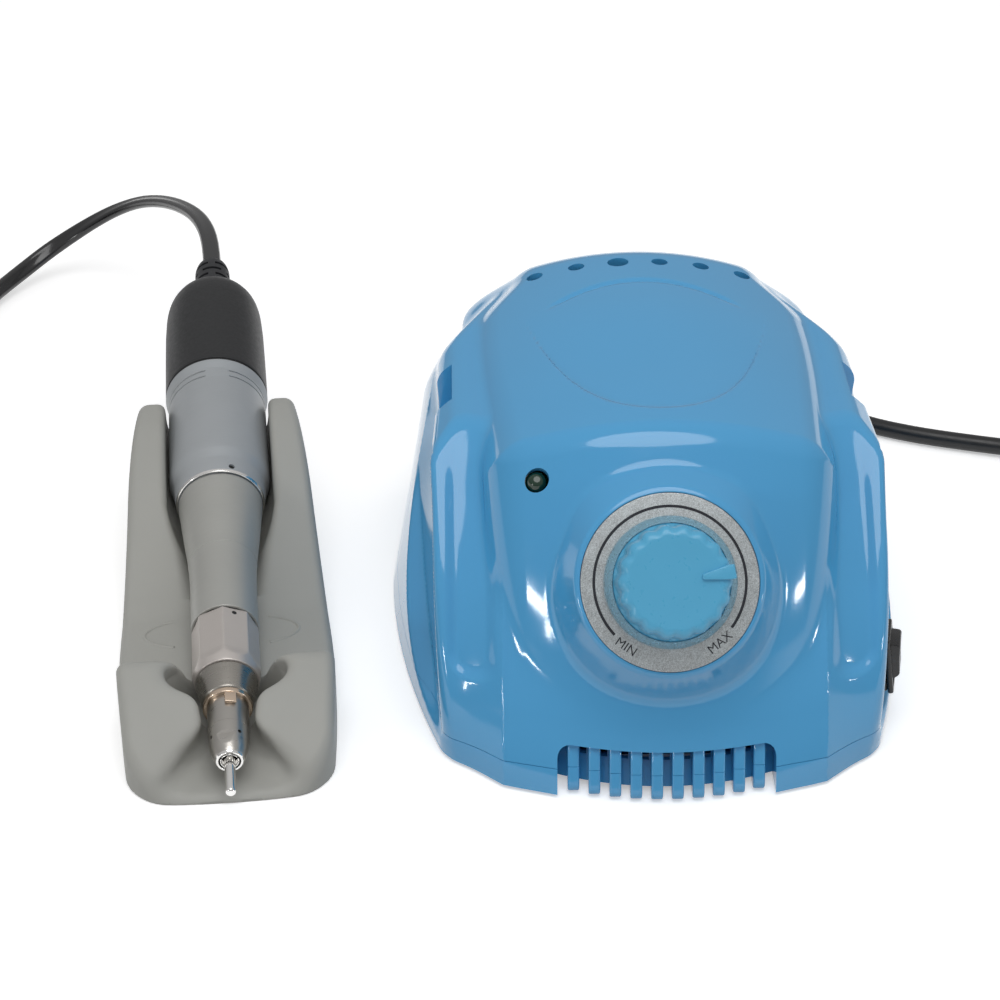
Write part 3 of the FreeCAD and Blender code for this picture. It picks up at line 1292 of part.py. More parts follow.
class Coil:
    """Wound cord that goes on from the end of a route: the turns of a layer spiral in, those of the next out."""

    def __init__(self, start, heading, side, layer_turns, tail_turns, diameter, length, end_height):
        self.start, self.heading, self.side = start, heading, side
        self.layer_turns, self.turns = layer_turns, LAYERS * layer_turns
        self.tail_turns, self.end_height = tail_turns, end_height
        self.diameter, self.pitch = diameter, value("coil_pitch")
        mean = (length - 2 * diameter) / (2 * math.pi * (self.turns + tail_turns)) - 0.06 * self.pitch
        self.outer = mean + layer_turns * self.pitch / 2
        self.inner = mean - layer_turns * self.pitch / 2
        self.entry = start + heading * diameter
        across = Vector(-heading.y, heading.x, 0) * side
        self.centre = self.entry + across * self.outer
        self.first_angle = math.atan2(-across.y, -across.x)

    def point(self, turn):
        wound = min(turn, self.turns)
        layer = min(LAYERS - 1, int(wound / self.layer_turns))
        share = wound / self.layer_turns - layer
        inward = share if layer % 2 == 0 else 1 - share
        radius = self.outer - inward * (self.outer - self.inner)
        climbs = [smooth((wound - k * self.layer_turns) / 0.5 + 0.5) for k in range(1, LAYERS)]
        height = self.entry.z + self.pitch * sum(climbs)
        if turn > self.turns:
            tail = (turn - self.turns) / self.tail_turns
            radius += 1.25 * self.pitch * smooth(2.2 * tail)
            height += (self.end_height - height) * smooth((tail - 0.3) / 0.7)
        angle = self.first_angle + self.side * 2 * math.pi * turn
        return Vector(
            self.centre.x + radius * math.cos(angle), self.centre.y + radius * math.sin(angle), height
        )

    def way(self, turn):
        step = 0.01
        return (self.point(turn + step) - self.point(max(0, turn - step))).normalize()

    def path(self):
        last = self.turns + self.tail_turns
        stops = [quarter / 4 for quarter in range(int(4 * self.turns) + 1)]
        tail_stops = 6
        stops += [self.turns + self.tail_turns * (index + 1) / tail_stops for index in range(tail_stops)]
        spots = [self.point(turn) for turn in stops]
        ways = [self.way(turn) for turn in stops]
        ways[0] = self.heading
        ways[-1] = Vector(ways[-1].x, ways[-1].y, 0).normalize()
        edges = [Part.LineSegment(self.start, self.entry).toShape()]
        for index in range(len(stops) - 1):
            edges += biarc(spots[index], ways[index], spots[index + 1], ways[index + 1])
        self.end = spots[-1] + ways[-1] * self.diameter
        self.end_way = ways[-1]
        edges.append(Part.LineSegment(spots[-1], self.end).toShape())
        return Part.Wire(edges)

    def least_gap(self):
        """Least free space between one turn and another, on points along the coil."""
        count = 60
        last = int(count * (self.turns + self.tail_turns))
        spots = [self.point(index / count) for index in range(last + 1)]
        apart = min(
            (spots[i] - spots[j]).Length for i in range(last + 1) for j in range(i + count // 2, last + 1)
        )
        return apart - self.diameter

    def end_place(self):
        """Frame at the end of the cord, with Z along it and -Y up."""
        turn = math.degrees(math.atan2(-self.end_way.x, self.end_way.y))
        return Placement(self.end, Rotation(Vector(0, 0, 1), turn)) * at(0, 0, 0, Vector(1, 0, 0), -90)

    def tie(self, name, turn):
        """Strap round the bundle of turns at an angle that lies this many turns from the start."""
        thick, width = values("tie_thickness", "tie_width")
        room = self.diameter / 2 + 0.35
        angle = self.first_angle + self.side * 2 * math.pi * turn
        inner, outer = self.inner - room, self.outer + room
        low, high = self.entry.z - room, self.entry.z + (LAYERS - 1) * self.pitch + room
        hole = Part.makeBox(outer - inner, 4 * width, high - low, Vector(inner, -2 * width, low))
        strap = Part.makeBox(
            outer - inner + 2 * thick, width, high - low + 2 * thick, Vector(inner - thick, -width / 2, low - thick)
        )
        place = Placement(Vector(self.centre.x, self.centre.y, 0), Rotation(Vector(0, 0, 1), math.degrees(angle)))
        return solid_of(name, strap.cut(hole), place)


LEAD_START = HAND.multVec(Vector(0, 0, value("relief_rear_at")))
LEAD_WAY = HAND.Rotation.multVec(Vector(0, 0, 1))
lead_low, mains_low = values(
    "lead_diameter / 2 + tie_thickness + 0.35 + cord_floor", "mains_diameter / 2 + tie_thickness + 0.35 + cord_floor"
)
LEAD_ROUTE = [
    tuple(LEAD_START), tuple(LEAD_START + LEAD_WAY * 13), (-85.0, 130.0, 39.6), (-91.0, 144.0, 37.4),
    (-98.6, 157.1, 34.0), (-106.9, 167.6, 29.6), (-115.0, 173.8, 24.6), (-122.6, 176.9, 19.6),
    (-130.4, 177.8, 14.4), (-138.4, 175.8, 9.6), (-145.6, 169.6, 5.8), (-151.8, 159.0, 4.1),
    (-156.8, 144.4, lead_low), (-161.4, 130.0, lead_low),
]
GLAND_END = GLAND.multVec(Vector(0, 0, value("gland_length")))
MAINS_ROUTE = [
    tuple(GLAND_END), (GLAND_END.x, GLAND_END.y + 10.0, GLAND_END.z - 0.3), (44.8, 87.5, 11.6), (52.1, 96.8, 8.4),
    (63.2, 100.4, 5.2), (74.4, 97.6, 3.2), (83.4, 89.6, 2.5), (91.2, 79.6, 2.5), (101.0, 70.8, 2.5),
    (113.1, 64.6, 2.5), (127.1, 59.6, 2.6), (142.6, 54.6, 2.9), (159.1, 49.0, mains_low), (175.6, 44.5, mains_low),
]


def cord(name, node, route, diameter):
    path = rounded_path(name, route)
    piece(solid_of(name, tube(name, path, diameter)), node)
    return path.Length


ties = []


def put_away(name, node, route, free, length, diameter, side, layer_turns, tail_turns, end_height, tie_turn):
    """Coil of the cord's remaining length, at the end of its route, with a tie round it."""
    start = Vector(*route[-1])
    heading = (start - Vector(*route[-2])).normalize()
    coil = Coil(start, heading, side, layer_turns, tail_turns, diameter, length - free, end_height)
    piece(solid_of(name, tube(name, coil.path(), diameter)), node)
    print(name, "least gap", round(coil.least_gap(), 2), "radii", round(coil.inner, 1), round(coil.outer, 1))
    ties.append(coil.tie(name + "_tie", tie_turn))
    return coil


lead_free = cord("lead_run", "handpiece_lead", LEAD_ROUTE, value("lead_diameter"))
mains_free = cord("mains_run", "mains_cord", MAINS_ROUTE, value("mains_diameter"))
lead_end_height, mains_end_height = values("plug_body_diameter / 2 + cord_floor", "mains_plug_thickness / 2 + cord_floor")
lead = put_away(
    "lead_coil_run", "lead_coil", LEAD_ROUTE, lead_free, value("lead_length"), value("lead_diameter"),
    -1, 2.0, 0.45, lead_end_height, 0.7,
)
mains = put_away(
    "mains_coil_run", "mains_coil", MAINS_ROUTE, mains_free, value("mains_length"), value("mains_diameter"),
    1, 2.25, 0.36, mains_end_height, 0.7,
)

group("cord_ties", ties)

# Plugs on the ends of the cords
LEAD_END = lead.end_place()
turned(
    "lead_plug_turned",
    [
        (0, 0), ("lead_diameter / 2 + 0.7", 0), ("lead_diameter / 2 + 1.6", 12), ("plug_body_diameter / 2 - 0.6", 12),
        ("plug_body_diameter / 2", 12.8), ("plug_body_diameter / 2", "plug_body_length - 0.6"),
        ("plug_body_diameter / 2 - 0.6", "plug_body_length"), ("socket_bore / 2 - fit_clearance", "plug_body_length"),
        ("socket_bore / 2 - fit_clearance", "plug_body_length + 8.5"), ("socket_bore / 2 - 0.8", "plug_body_length + 8.5"),
        ("socket_bore / 2 - 0.8", "plug_body_length"), (0, "plug_body_length"),
    ],
    LEAD_END, "lead_plug",
)
group(
    "lead_plug_pins",
    [
        rod(
            f"lead_pin_{i}", 1.1, 7.5,
            LEAD_END * at(0, 0, 0, Vector(0, 0, 1), 120 * i) * at(*values("socket_bore / 4", 0, "plug_body_length")),
        )
        for i in range(3)
    ],
)
MAINS_END = mains.end_place()
plug_relief = turned(
    "plug_relief",
    [(0, 0), ("mains_diameter / 2 + 0.8", 0), ("mains_diameter / 2 + 1.8", 14), (0, 14)],
    MAINS_END,
)
plug_half, plug_end = "mains_plug_width / 2", "14 + mains_plug_length"
plug_flat = padded(
    "plug_flat", "XZ_Plane",
    [
        (-6, 12), (6, 12), (f"{plug_half} - 5", 25), (plug_half, "14 + mains_plug_length - 12"), (plug_half, f"{plug_end} - 4"),
        (f"{plug_half} - 4", plug_end), (f"-{plug_half} + 4", plug_end), (f"-{plug_half}", f"{plug_end} - 4"),
        (f"-{plug_half}", "14 + mains_plug_length - 12"), (f"-{plug_half} + 5", 25),
    ],
    "mains_plug_thickness", MAINS_END, midplane=True,
)
piece(fused("plug_whole", [plug_relief, plug_flat]), "mains_plug")
group(
    "mains_plug_pins",
    [rod(f"mains_pin_{i}", 4.0, 19, MAINS_END * at(*values(f"{i} * mains_pin_spacing / 2", 0, plug_end))) for i in (-1, 1)],
)


def build():
    doc.recompute()
    os.makedirs("parts", exist_ok=True)
    broken = [item.Label for item in doc.Objects if "Invalid" in item.State or "Error" in item.State]
    broken += [item.Label for item in pieces if item.Shape.isNull() or not item.Shape.isValid() or not item.Shape.Solids]
    if broken:
        raise RuntimeError("these objects failed: " + ", ".join(broken))
    for item in pieces:
        shape = item.Shape
        if len(shape.Solids) == 1:
            shape = shape.Solids[0]
        shape.exportStep(f"parts/{item.Label}.step")
        b = shape.BoundBox
        print(f"{item.Label:24s} solids {len(shape.Solids)} volume {shape.Volume:10.1f}",
              f"x {b.XMin:7.1f} {b.XMax:7.1f} y {b.YMin:7.1f} {b.YMax:7.1f} z {b.ZMin:6.1f} {b.ZMax:6.1f}")


build()
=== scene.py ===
"""Hair transplant micromotor: control box with a dial, handpiece in its rest, lead and mains cord."""
import json
import math

import bmesh
import bpy
import numpy as np
from mathutils import Matrix, Vector

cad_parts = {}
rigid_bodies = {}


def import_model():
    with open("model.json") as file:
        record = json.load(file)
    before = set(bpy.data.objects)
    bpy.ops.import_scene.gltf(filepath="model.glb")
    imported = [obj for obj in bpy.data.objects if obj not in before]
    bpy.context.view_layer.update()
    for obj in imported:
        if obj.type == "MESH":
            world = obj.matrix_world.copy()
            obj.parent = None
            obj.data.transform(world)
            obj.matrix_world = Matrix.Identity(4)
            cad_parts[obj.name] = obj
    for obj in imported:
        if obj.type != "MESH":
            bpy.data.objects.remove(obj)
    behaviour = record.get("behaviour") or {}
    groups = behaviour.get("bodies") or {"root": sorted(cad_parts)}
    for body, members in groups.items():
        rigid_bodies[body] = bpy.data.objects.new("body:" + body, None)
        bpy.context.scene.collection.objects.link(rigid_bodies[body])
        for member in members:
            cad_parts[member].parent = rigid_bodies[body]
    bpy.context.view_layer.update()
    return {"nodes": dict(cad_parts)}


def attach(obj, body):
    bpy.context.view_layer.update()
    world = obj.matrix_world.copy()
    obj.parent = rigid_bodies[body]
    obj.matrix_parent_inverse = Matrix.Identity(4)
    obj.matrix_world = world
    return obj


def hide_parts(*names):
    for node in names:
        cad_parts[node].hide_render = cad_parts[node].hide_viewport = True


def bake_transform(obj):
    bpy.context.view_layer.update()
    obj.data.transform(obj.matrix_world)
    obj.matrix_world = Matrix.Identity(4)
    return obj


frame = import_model()
NODES = frame["nodes"]

bl_info = {
    "name": "Micromotor control box and handpiece",
    "version": (1, 0, 0),
    "blender": (4, 5, 0),
    "location": "View3D > Sidebar > Micromotor",
    "description": "Builds the case, dial, handpiece, rest and cords around the packed frame",
    "category": "Object",
}

MM = 0.001


# Frames of the object's parts, in millimetres, and the way from them to metres


def moved(x, y, z):
    """Shift."""
    return Matrix.Translation((x, y, z))


def turned_by(degrees, axis):
    """Turn about one axis."""
    return Matrix.Rotation(math.radians(degrees), 4, axis)


# CASE stands on the bench below the middle of the case's front, DIAL on the boss with Z out along the
# shaft, LAMP and SWITCH on the skin with Z out of it, REAR on the rear face with Z out of it and Y down.
# TIP is below the tip of the tool, HAND has Z along the handpiece from that tip, REST lies flat under it.
HAND_YAW, HAND_PITCH, TIP_HEIGHT = 5.36, 8.14, 8
CASE = moved(33.1, -95.95, 0)
DIAL = CASE @ moved(0, 13.2, 47.5) @ turned_by(58, "X")
LAMP = CASE @ moved(-27.7, 30.2, 64.6) @ turned_by(42, "X")
SWITCH = CASE @ moved(51.6, 30, 18.5) @ turned_by(-12, "Z") @ turned_by(82, "Y")
REAR = CASE @ moved(0, 140, 0) @ turned_by(-90, "X")
TIP = moved(-60.6, -102.65, 0)
HAND = TIP @ moved(0, 0, TIP_HEIGHT) @ turned_by(HAND_YAW, "Z") @ turned_by(HAND_PITCH - 90, "X")
REST = TIP @ turned_by(HAND_YAW, "Z")
WORLD = Matrix.Identity(4)


def in_metres(place, point):
    """Point of a frame in metres in the world."""
    return (place @ Vector(point)) * MM


def in_frame(matrix, x, y, z):
    """Coordinates of points in the frame that a 4 by 4 array leads to."""
    return (matrix[k, 0] * x + matrix[k, 1] * y + matrix[k, 2] * z + matrix[k, 3] for k in range(3))


# Meshes


def new_object(name, vertices, faces, place=WORLD, sharp=40, smooth=True):
    """Mesh object from points in millimetres in the frame `place`."""
    mesh = bpy.data.meshes.new(name)
    mesh.from_pydata([in_metres(place, v) for v in vertices], [], [tuple(f) for f in faces])
    mesh.validate()
    return finish_mesh(name, mesh, sharp, smooth)


def finish_mesh(name, mesh, sharp=40, smooth=True):
    """Joins double points, turns all faces outwards and makes an object of the mesh."""
    work = bmesh.new()
    work.from_mesh(mesh)
    bmesh.ops.remove_doubles(work, verts=work.verts, dist=1e-7)
    bmesh.ops.recalc_face_normals(work, faces=work.faces)
    work.to_mesh(mesh)
    work.free()
    if smooth:
        mesh.shade_smooth()
        mesh.set_sharp_from_angle(angle=math.radians(sharp))
    item = bpy.data.objects.new(name, mesh)
    bpy.context.scene.collection.objects.link(item)
    return item


def joined(name, items):
    """One object made of several, whose meshes are already in the row frame."""
    work = bmesh.new()
    slots = []
    for item in items:
        start = len(work.faces)
        work.from_mesh(item.data)
        work.faces.ensure_lookup_table()
        shift = len(slots)
        for face in work.faces[start:]:
            face.material_index += shift
        slots += list(item.data.materials) or [None]
        bpy.data.objects.remove(item)
    mesh = bpy.data.meshes.new(name)
    work.to_mesh(mesh)
    work.free()
    whole = bpy.data.objects.new(name, mesh)
    bpy.context.scene.collection.objects.link(whole)
    for slot in slots:
        mesh.materials.append(slot)
    return whole


def grid_faces(rows, columns):
    """Faces of a tube of rows of points, closed round each row and open at both ends."""
    faces = []
    for low in range(0, (rows - 1) * columns, columns):
        for j in range(columns):
            after = (j + 1) % columns
            faces.append((low + j, low + after, low + columns + after, low + columns + j))
    return faces


def rounded_profile(points, radius, steps=4):
    """Corners of an open outline rounded off; points are (r, z) or (r, z, own radius)."""
    result = [Vector(points[0][:2])]
    for before, here, after in zip(points, points[1:], points[2:]):
        p, a, b = Vector(here[:2]), Vector(before[:2]), Vector(after[:2])
        reach = here[2] if len(here) > 2 else radius
        to_a, to_b = a - p, b - p
        reach = min(reach, to_a.length * 0.45, to_b.length * 0.45)
        if reach < 1e-4:
            result.append(p)
            continue
        start, end = p + to_a.normalized() * reach, p + to_b.normalized() * reach
        for k in range(steps + 1):
            t = k / steps
            result.append(start * (1 - t) ** 2 + p * 2 * t * (1 - t) + end * t ** 2)
    result.append(Vector(points[-1][:2]))
    return result


def lathed(name, points, place, radius=0.3, around=96, sharp=40, steps=4, wave=None):
    """Piece turned about Z from (r, z) corners, which are rounded off. wave(angle, r, z) may change r."""
    profile = rounded_profile(points, radius, steps)
    vertices = []
    for r, z in profile:
        for j in range(around):
            angle = 2 * math.pi * j / around
            reach = wave(angle, r, z) if wave else r
            vertices.append((reach * math.cos(angle), reach * math.sin(angle), z))
    return new_object(name, vertices, grid_faces(len(profile), around), place, sharp)


def block(name, size, place, bevel=0.3, segments=3):
    """Box centred on its frame, with rounded edges."""
    work = bmesh.new()
    bmesh.ops.create_cube(work, size=1)
    bmesh.ops.scale(work, vec=size, verts=work.verts)
    if bevel:
        edges = work.edges[:]
        bmesh.ops.bevel(work, geom=edges, offset=bevel, segments=segments, profile=0.5, affect="EDGES")
    bmesh.ops.transform(work, matrix=Matrix.Scale(MM, 4) @ place, verts=work.verts)
    mesh = bpy.data.meshes.new(name)
    work.to_mesh(mesh)
    work.free()
    return finish_mesh(name, mesh)


def prism(name, outline, low, high, place, bevel=0.0, segments=2):
    """Upright prism from a plan outline, with its edges rounded."""
    count = len(outline)
    vertices = [(x, y, low) for x, y in outline] + [(x, y, high) for x, y in outline]
    faces = [tuple(reversed(range(count))), tuple(range(count, 2 * count))]
    faces += [(j, (j + 1) % count, count + (j + 1) % count, count + j) for j in range(count)]
    item = new_object(name, vertices, faces, place, smooth=False)
    if bevel:
        work = bmesh.new()
        work.from_mesh(item.data)
        edges = [e for e in work.edges if len(e.link_faces) == 2 and e.calc_face_angle(0) > math.radians(30)]
        bmesh.ops.bevel(work, geom=edges, offset=bevel * MM, segments=segments, profile=0.5, affect="EDGES")
        work.to_mesh(item.data)
        work.free()
    item.data.shade_smooth()
    item.data.set_sharp_from_angle(angle=math.radians(35))
    return item


def carved(item, tools):
    """Cuts a list of tool objects, which are used up, out of an object."""
    box = bpy.data.collections.new(item.name + "_tools")
    for tool in tools:
        for owner in list(tool.users_collection):
            owner.objects.unlink(tool)
        box.objects.link(tool)
    bpy.context.scene.collection.children.link(box)
    step = item.modifiers.new("carve", "BOOLEAN")
    step.operation = "DIFFERENCE"
    step.solver = "MANIFOLD"
    step.operand_type = "COLLECTION"
    step.collection = box
    result = bpy.data.meshes.new_from_object(item.evaluated_get(bpy.context.evaluated_depsgraph_get()))
    item.modifiers.clear()
    item.data = result
    for tool in list(box.objects):
        bpy.data.objects.remove(tool)
    bpy.data.collections.remove(box)
    return item


# Smooth skins from distance fields: a field is below zero inside, in millimetres


def soft_min(a, b, reach):
    """Both fields together, with the join filled softly."""
    share = np.clip(0.5 + 0.5 * (b - a) / reach, 0, 1)
    return b + (a - b) * share - reach * share * (1 - share)


def soft_max(a, b, reach):
    """Common part of two fields, with the edge softened."""
    return -soft_min(-a, -b, reach)


def round_max(a, b, radius):
    """Common part of two fields, with its edge rounded."""
    u, v = np.maximum(a + radius, 0), np.maximum(b + radius, 0)
    return np.minimum(-radius, np.maximum(a, b)) + np.hypot(u, v)


def smooth(share):
    """Soft step of one number from 0 to 1."""
    share = min(1.0, max(0.0, share))
    return share * share * (3 - 2 * share)


def between(value, low, high):
    """Soft step of an array from 0 at low to 1 at high."""
    t = np.clip((value - low) / (high - low), 0, 1)
    return t * t * (3 - 2 * t)


def field_slope(field, points, reach=0.02):
    """Which way a field grows at points, and how fast."""
    ups = np.eye(3) * reach
    x, y, z = points.T
    return np.stack(
        [
            (field(x + u[0], y + u[1], z + u[2]) - field(x - u[0], y - u[1], z - u[2])) / (2 * reach)
            for u in ups
        ],
        1,
    )


def field_skin(name, field, low, high, step, place, settle=4):
    """Even mesh of the surface where the field is zero."""
    low, high = np.array(low, float), np.array(high, float)
    counts = np.ceil((high - low) / step).astype(int) + 1
    axes = [low[k] + step * np.arange(counts[k]) for k in range(3)]
    grid = np.meshgrid(*axes, indexing="ij")
    inside = field(*grid) < 0
    nx, ny, nz = counts - 1
    corners = sum(
        inside[i : i + nx, j : j + ny, k : k + nz].astype(np.int8)
        for i in (0, 1) for j in (0, 1) for k in (0, 1)
    )
    mixed = (corners > 0) & (corners < 8)
    index = -np.ones(mixed.shape, np.int64)
    index[mixed] = np.arange(mixed.sum())
    points = low + (np.argwhere(mixed) + 0.5) * step
    faces = []
    for axis in range(3):
        others = [k for k in range(3) if k != axis]
        first = [slice(1, n) for n in (nx, ny, nz)]
        ahead = list(first)
        first[axis], ahead[axis] = slice(0, counts[axis] - 1), slice(1, counts[axis])
        here, there = inside[tuple(first)], inside[tuple(ahead)]
        crossing = np.argwhere(here != there)
        flip = here[here != there]
        spots = crossing.copy()
        for k in others:
            spots[:, k] += 1
        ring = []
        for du, dv in ((0, 0), (-1, 0), (-1, -1), (0, -1)):
            cell = spots.copy()
            cell[:, others[0]] += du
            cell[:, others[1]] += dv
            ring.append(index[cell[:, 0], cell[:, 1], cell[:, 2]])
        quads = np.stack(ring, 1)
        if axis == 1:
            flip = ~flip
        quads[~flip] = quads[~flip][:, ::-1]
        faces.append(quads[(quads >= 0).all(1)])
    faces = np.concatenate(faces)
    for _ in range(settle):
        value = field(*points.T)
        slope = field_slope(field, points)
        size = np.maximum((slope ** 2).sum(1), 0.05)
        points -= np.clip(value / size, -step, step)[:, None] * slope
    mesh = bpy.data.meshes.new(name)
    matrix = np.array(Matrix.Scale(MM, 4) @ place)
    world = points @ matrix[:3, :3].T + matrix[:3, 3]
    mesh.from_pydata(world.tolist(), [], faces.tolist())
    mesh.update()
    item = bpy.data.objects.new(name, mesh)
    bpy.context.scene.collection.objects.link(item)
    return item


def field_normals(item, field, place, reach=0.03, spread=0.9):
    """Shading normals from the field wherever a corner lies on its surface."""
    mesh = item.data
    mesh.shade_smooth()
    count = len(mesh.vertices)
    co = np.empty(count * 3)
    mesh.vertices.foreach_get("co", co)
    back = np.array((Matrix.Scale(MM, 4) @ place).inverted())
    points = co.reshape(-1, 3) @ back[:3, :3].T + back[:3, 3]
    near = np.abs(field(*points.T)) < reach
    slope = field_slope(field, points)
    turn = np.array(place.to_3x3())
    smooth = slope @ turn.T
    smooth /= np.maximum(np.linalg.norm(smooth, axis=1), 1e-9)[:, None]
    loops = np.empty(len(mesh.loops), np.int64)
    mesh.loops.foreach_get("vertex_index", loops)
    totals = np.empty(len(mesh.polygons), np.int64)
    mesh.polygons.foreach_get("loop_total", totals)
    flat = np.empty(len(mesh.polygons) * 3)
    mesh.polygons.foreach_get("normal", flat)
    face_normals = np.repeat(flat.reshape(-1, 3), totals, axis=0)
    sure = near[loops] & ((smooth[loops] * face_normals).sum(1) > spread)
    normals = np.where(sure[:, None], smooth[loops], face_normals)
    mesh.normals_split_custom_set(normals.tolist())
    return item


# Finishes: every one is a shader with its own colour, roughness and fine relief from noise


def finish(
    name, colour, rough=(0.35, 0.5), mottle=0.06, mottle_size=9.0, grain_size=0.5, grain_depth=0.01, lay=None,
    **sockets,
):
    """Material in the row frame. Sizes are in millimetres; lay = (frame, scale) stretches the grain."""
    material = bpy.data.materials.new(name)
    material.use_nodes = True
    nodes, links = material.node_tree.nodes, material.node_tree.links
    shader = nodes["Principled BSDF"]
    material.diffuse_color = (*colour, 1)
    place = nodes.new("ShaderNodeTexCoord").outputs["Object"]
    if lay:
        frame_of, scale = lay
        mapping = nodes.new("ShaderNodeMapping")
        mapping.vector_type = "TEXTURE"
        mapping.inputs["Rotation"].default_value = frame_of.to_euler()
        mapping.inputs["Scale"].default_value = scale
        links.new(place, mapping.inputs["Vector"])
        along = mapping.outputs["Vector"]
    else:
        along = place

    def noise(source, size, detail=3.0):
        node = nodes.new("ShaderNodeTexNoise")
        node.inputs["Scale"].default_value = 1 / (size * MM)
        node.inputs["Detail"].default_value = detail
        links.new(source, node.inputs["Vector"])
        return node.outputs["Fac"]

    tint = nodes.new("ShaderNodeMix")
    tint.data_type = "RGBA"
    tint.inputs["A"].default_value = (*[c * (1 - mottle) for c in colour], 1)
    tint.inputs["B"].default_value = (*[min(1, c * (1 + mottle)) for c in colour], 1)
    links.new(noise(place, mottle_size), tint.inputs["Factor"])
    links.new(tint.outputs["Result"], shader.inputs["Base Color"])
    spread = nodes.new("ShaderNodeMapRange")
    spread.inputs["From Min"].default_value, spread.inputs["From Max"].default_value = 0.3, 0.7
    spread.inputs["To Min"].default_value, spread.inputs["To Max"].default_value = rough
    links.new(noise(along, grain_size * 4), spread.inputs["Value"])
    links.new(spread.outputs["Result"], shader.inputs["Roughness"])
    if grain_depth:
        bump = nodes.new("ShaderNodeBump")
        bump.inputs["Distance"].default_value = grain_depth * MM
        links.new(noise(along, grain_size), bump.inputs["Height"])
        links.new(bump.outputs["Normal"], shader.inputs["Normal"])
    for socket, value in sockets.items():
        shader.inputs[socket.replace("_", " ").title().replace("Ior", "IOR")].default_value = value
    return material


def sparkle(name, colour, rough=(0.28, 0.5), cell=0.16, tilt=0.35):
    """Metallic lacquer: tiny flakes that catch the light each in its own way."""
    material = finish(name, colour, rough, mottle=0.03, grain_depth=0, metallic=0.85)
    nodes, links = material.node_tree.nodes, material.node_tree.links
    shader = nodes["Principled BSDF"]
    flakes = nodes.new("ShaderNodeTexVoronoi")
    flakes.inputs["Scale"].default_value = 1 / (cell * MM)
    links.new(nodes["Texture Coordinate"].outputs["Object"], flakes.inputs["Vector"])
    ramp = nodes.new("ShaderNodeValToRGB")
    ramp.color_ramp.elements[0].position, ramp.color_ramp.elements[1].position = 0.0, 1.0
    ramp.color_ramp.elements[0].color = (*[c * 0.62 for c in colour], 1)
    ramp.color_ramp.elements[1].color = (*[min(1, c * 1.45) for c in colour], 1)
    links.new(flakes.outputs["Color"], ramp.inputs["Fac"])
    links.new(ramp.outputs["Color"], shader.inputs["Base Color"])
    bump = nodes.new("ShaderNodeBump")
    bump.inputs["Strength"].default_value = tilt
    bump.inputs["Distance"].default_value = 0.04 * MM
    links.new(flakes.outputs["Distance"], bump.inputs["Height"])
    links.new(bump.outputs["Normal"], shader.inputs["Normal"])
    return material


def wear(item, material):
    """Gives a piece its material."""
    item.data.materials.clear()
    item.data.materials.append(material)
    return item


def fitted(item, material, slot, body, *nodes):
    """Finish, body and replaced nodes of a piece in one line."""
    wear(item, material)
    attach(item, body)
    if nodes:
        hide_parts(*nodes)
    return item


def dress(node, material):
    """Better material on a solid that keeps its shape."""
    item = NODES[node]
    if item.data.materials:
        for index in range(len(item.data.materials)):
            item.data.materials[index] = material
    else:
        item.data.materials.append(material)


# Case of the control box


HOOD_LEAN, HOOD_TOP, CASE_REAR = 0.367, 74.0, 140.0
FLOOR_Z, SEAM_Z, SEAM_GAP, WALL = 1.6, 6.5, 0.15, 2.4
EDGE_Z = 0.9  # the moulding's lower edge
FRONT_SET, RIDGE_Y, CROWN_RADIUS = 1.8, 84.2, 85.0
FACET = (35.2, 73.4, 0.9)  # a point of the flat brow, y and z, and its steepness
TAIL = (123.0, 56.2, 17.0)  # middle of the hood's rounded tail, y and z, and its radius
WING_TOP, WING_CORNER = 63.0, (51.3, 96.0, 57.8)
PANEL_INNER, RECESS_MIDDLE, RECESS_HALF, RECESS_FLOOR = 35.5, 42.2, 5.0, 20.5
BOSS_RIM, BOSS_TOP = 20.1, 0.8
GRILLE_HALF, GRILLE_TOP, GRILLE_RECESS = 23.8, 11.6, 4.6
SLOT_BOX = ((46.0, 51.2), (70.5, 88.0), 50.0)  # x and y of the right slot, and its floor
SLIT_PLACE, SLIT_SIZE, SLIT_TURN = (51.1, 64.0, 64.0), (0.9, 22.0, 40), -2.0
VENTS, VENT_PITCH, VENT_Y = 6, 10.2, 120.5
BIG_VENT, VENT_EXTRA = 2, 1.2  # the vent that is wider than the others
REAR_HOLES = (("socket", 15.2, -22, 30), ("fuse", 12.2, 2, 30), ("gland", 10.2, 9, 14))
CUT = (260, 320, 40)  # block that is larger than the case
DIAL_SEAT, SHAFT_HOLE, LAMP_HOLE = 38.4, 7.2, 5.2
SWITCH_SHIFT, SWITCH_SEAT, SWITCH_HOLE = 1.6, (14.7, 10.1, 24), (13.4, 9.0, 40)


def bow(across):
    """How far the front falls back on its way to the sides."""
    return across ** 2 / 152.0 + across ** 4 / 3.5e6


def crown(across):
    """How far the top falls on its way to the sides."""
    return CROWN_RADIUS - np.sqrt(CROWN_RADIUS ** 2 - across ** 2)


def skirt(z):
    """How far the front stands out at its foot."""
    return 1.4 * (1 - between(z, 4.0, 16.0))


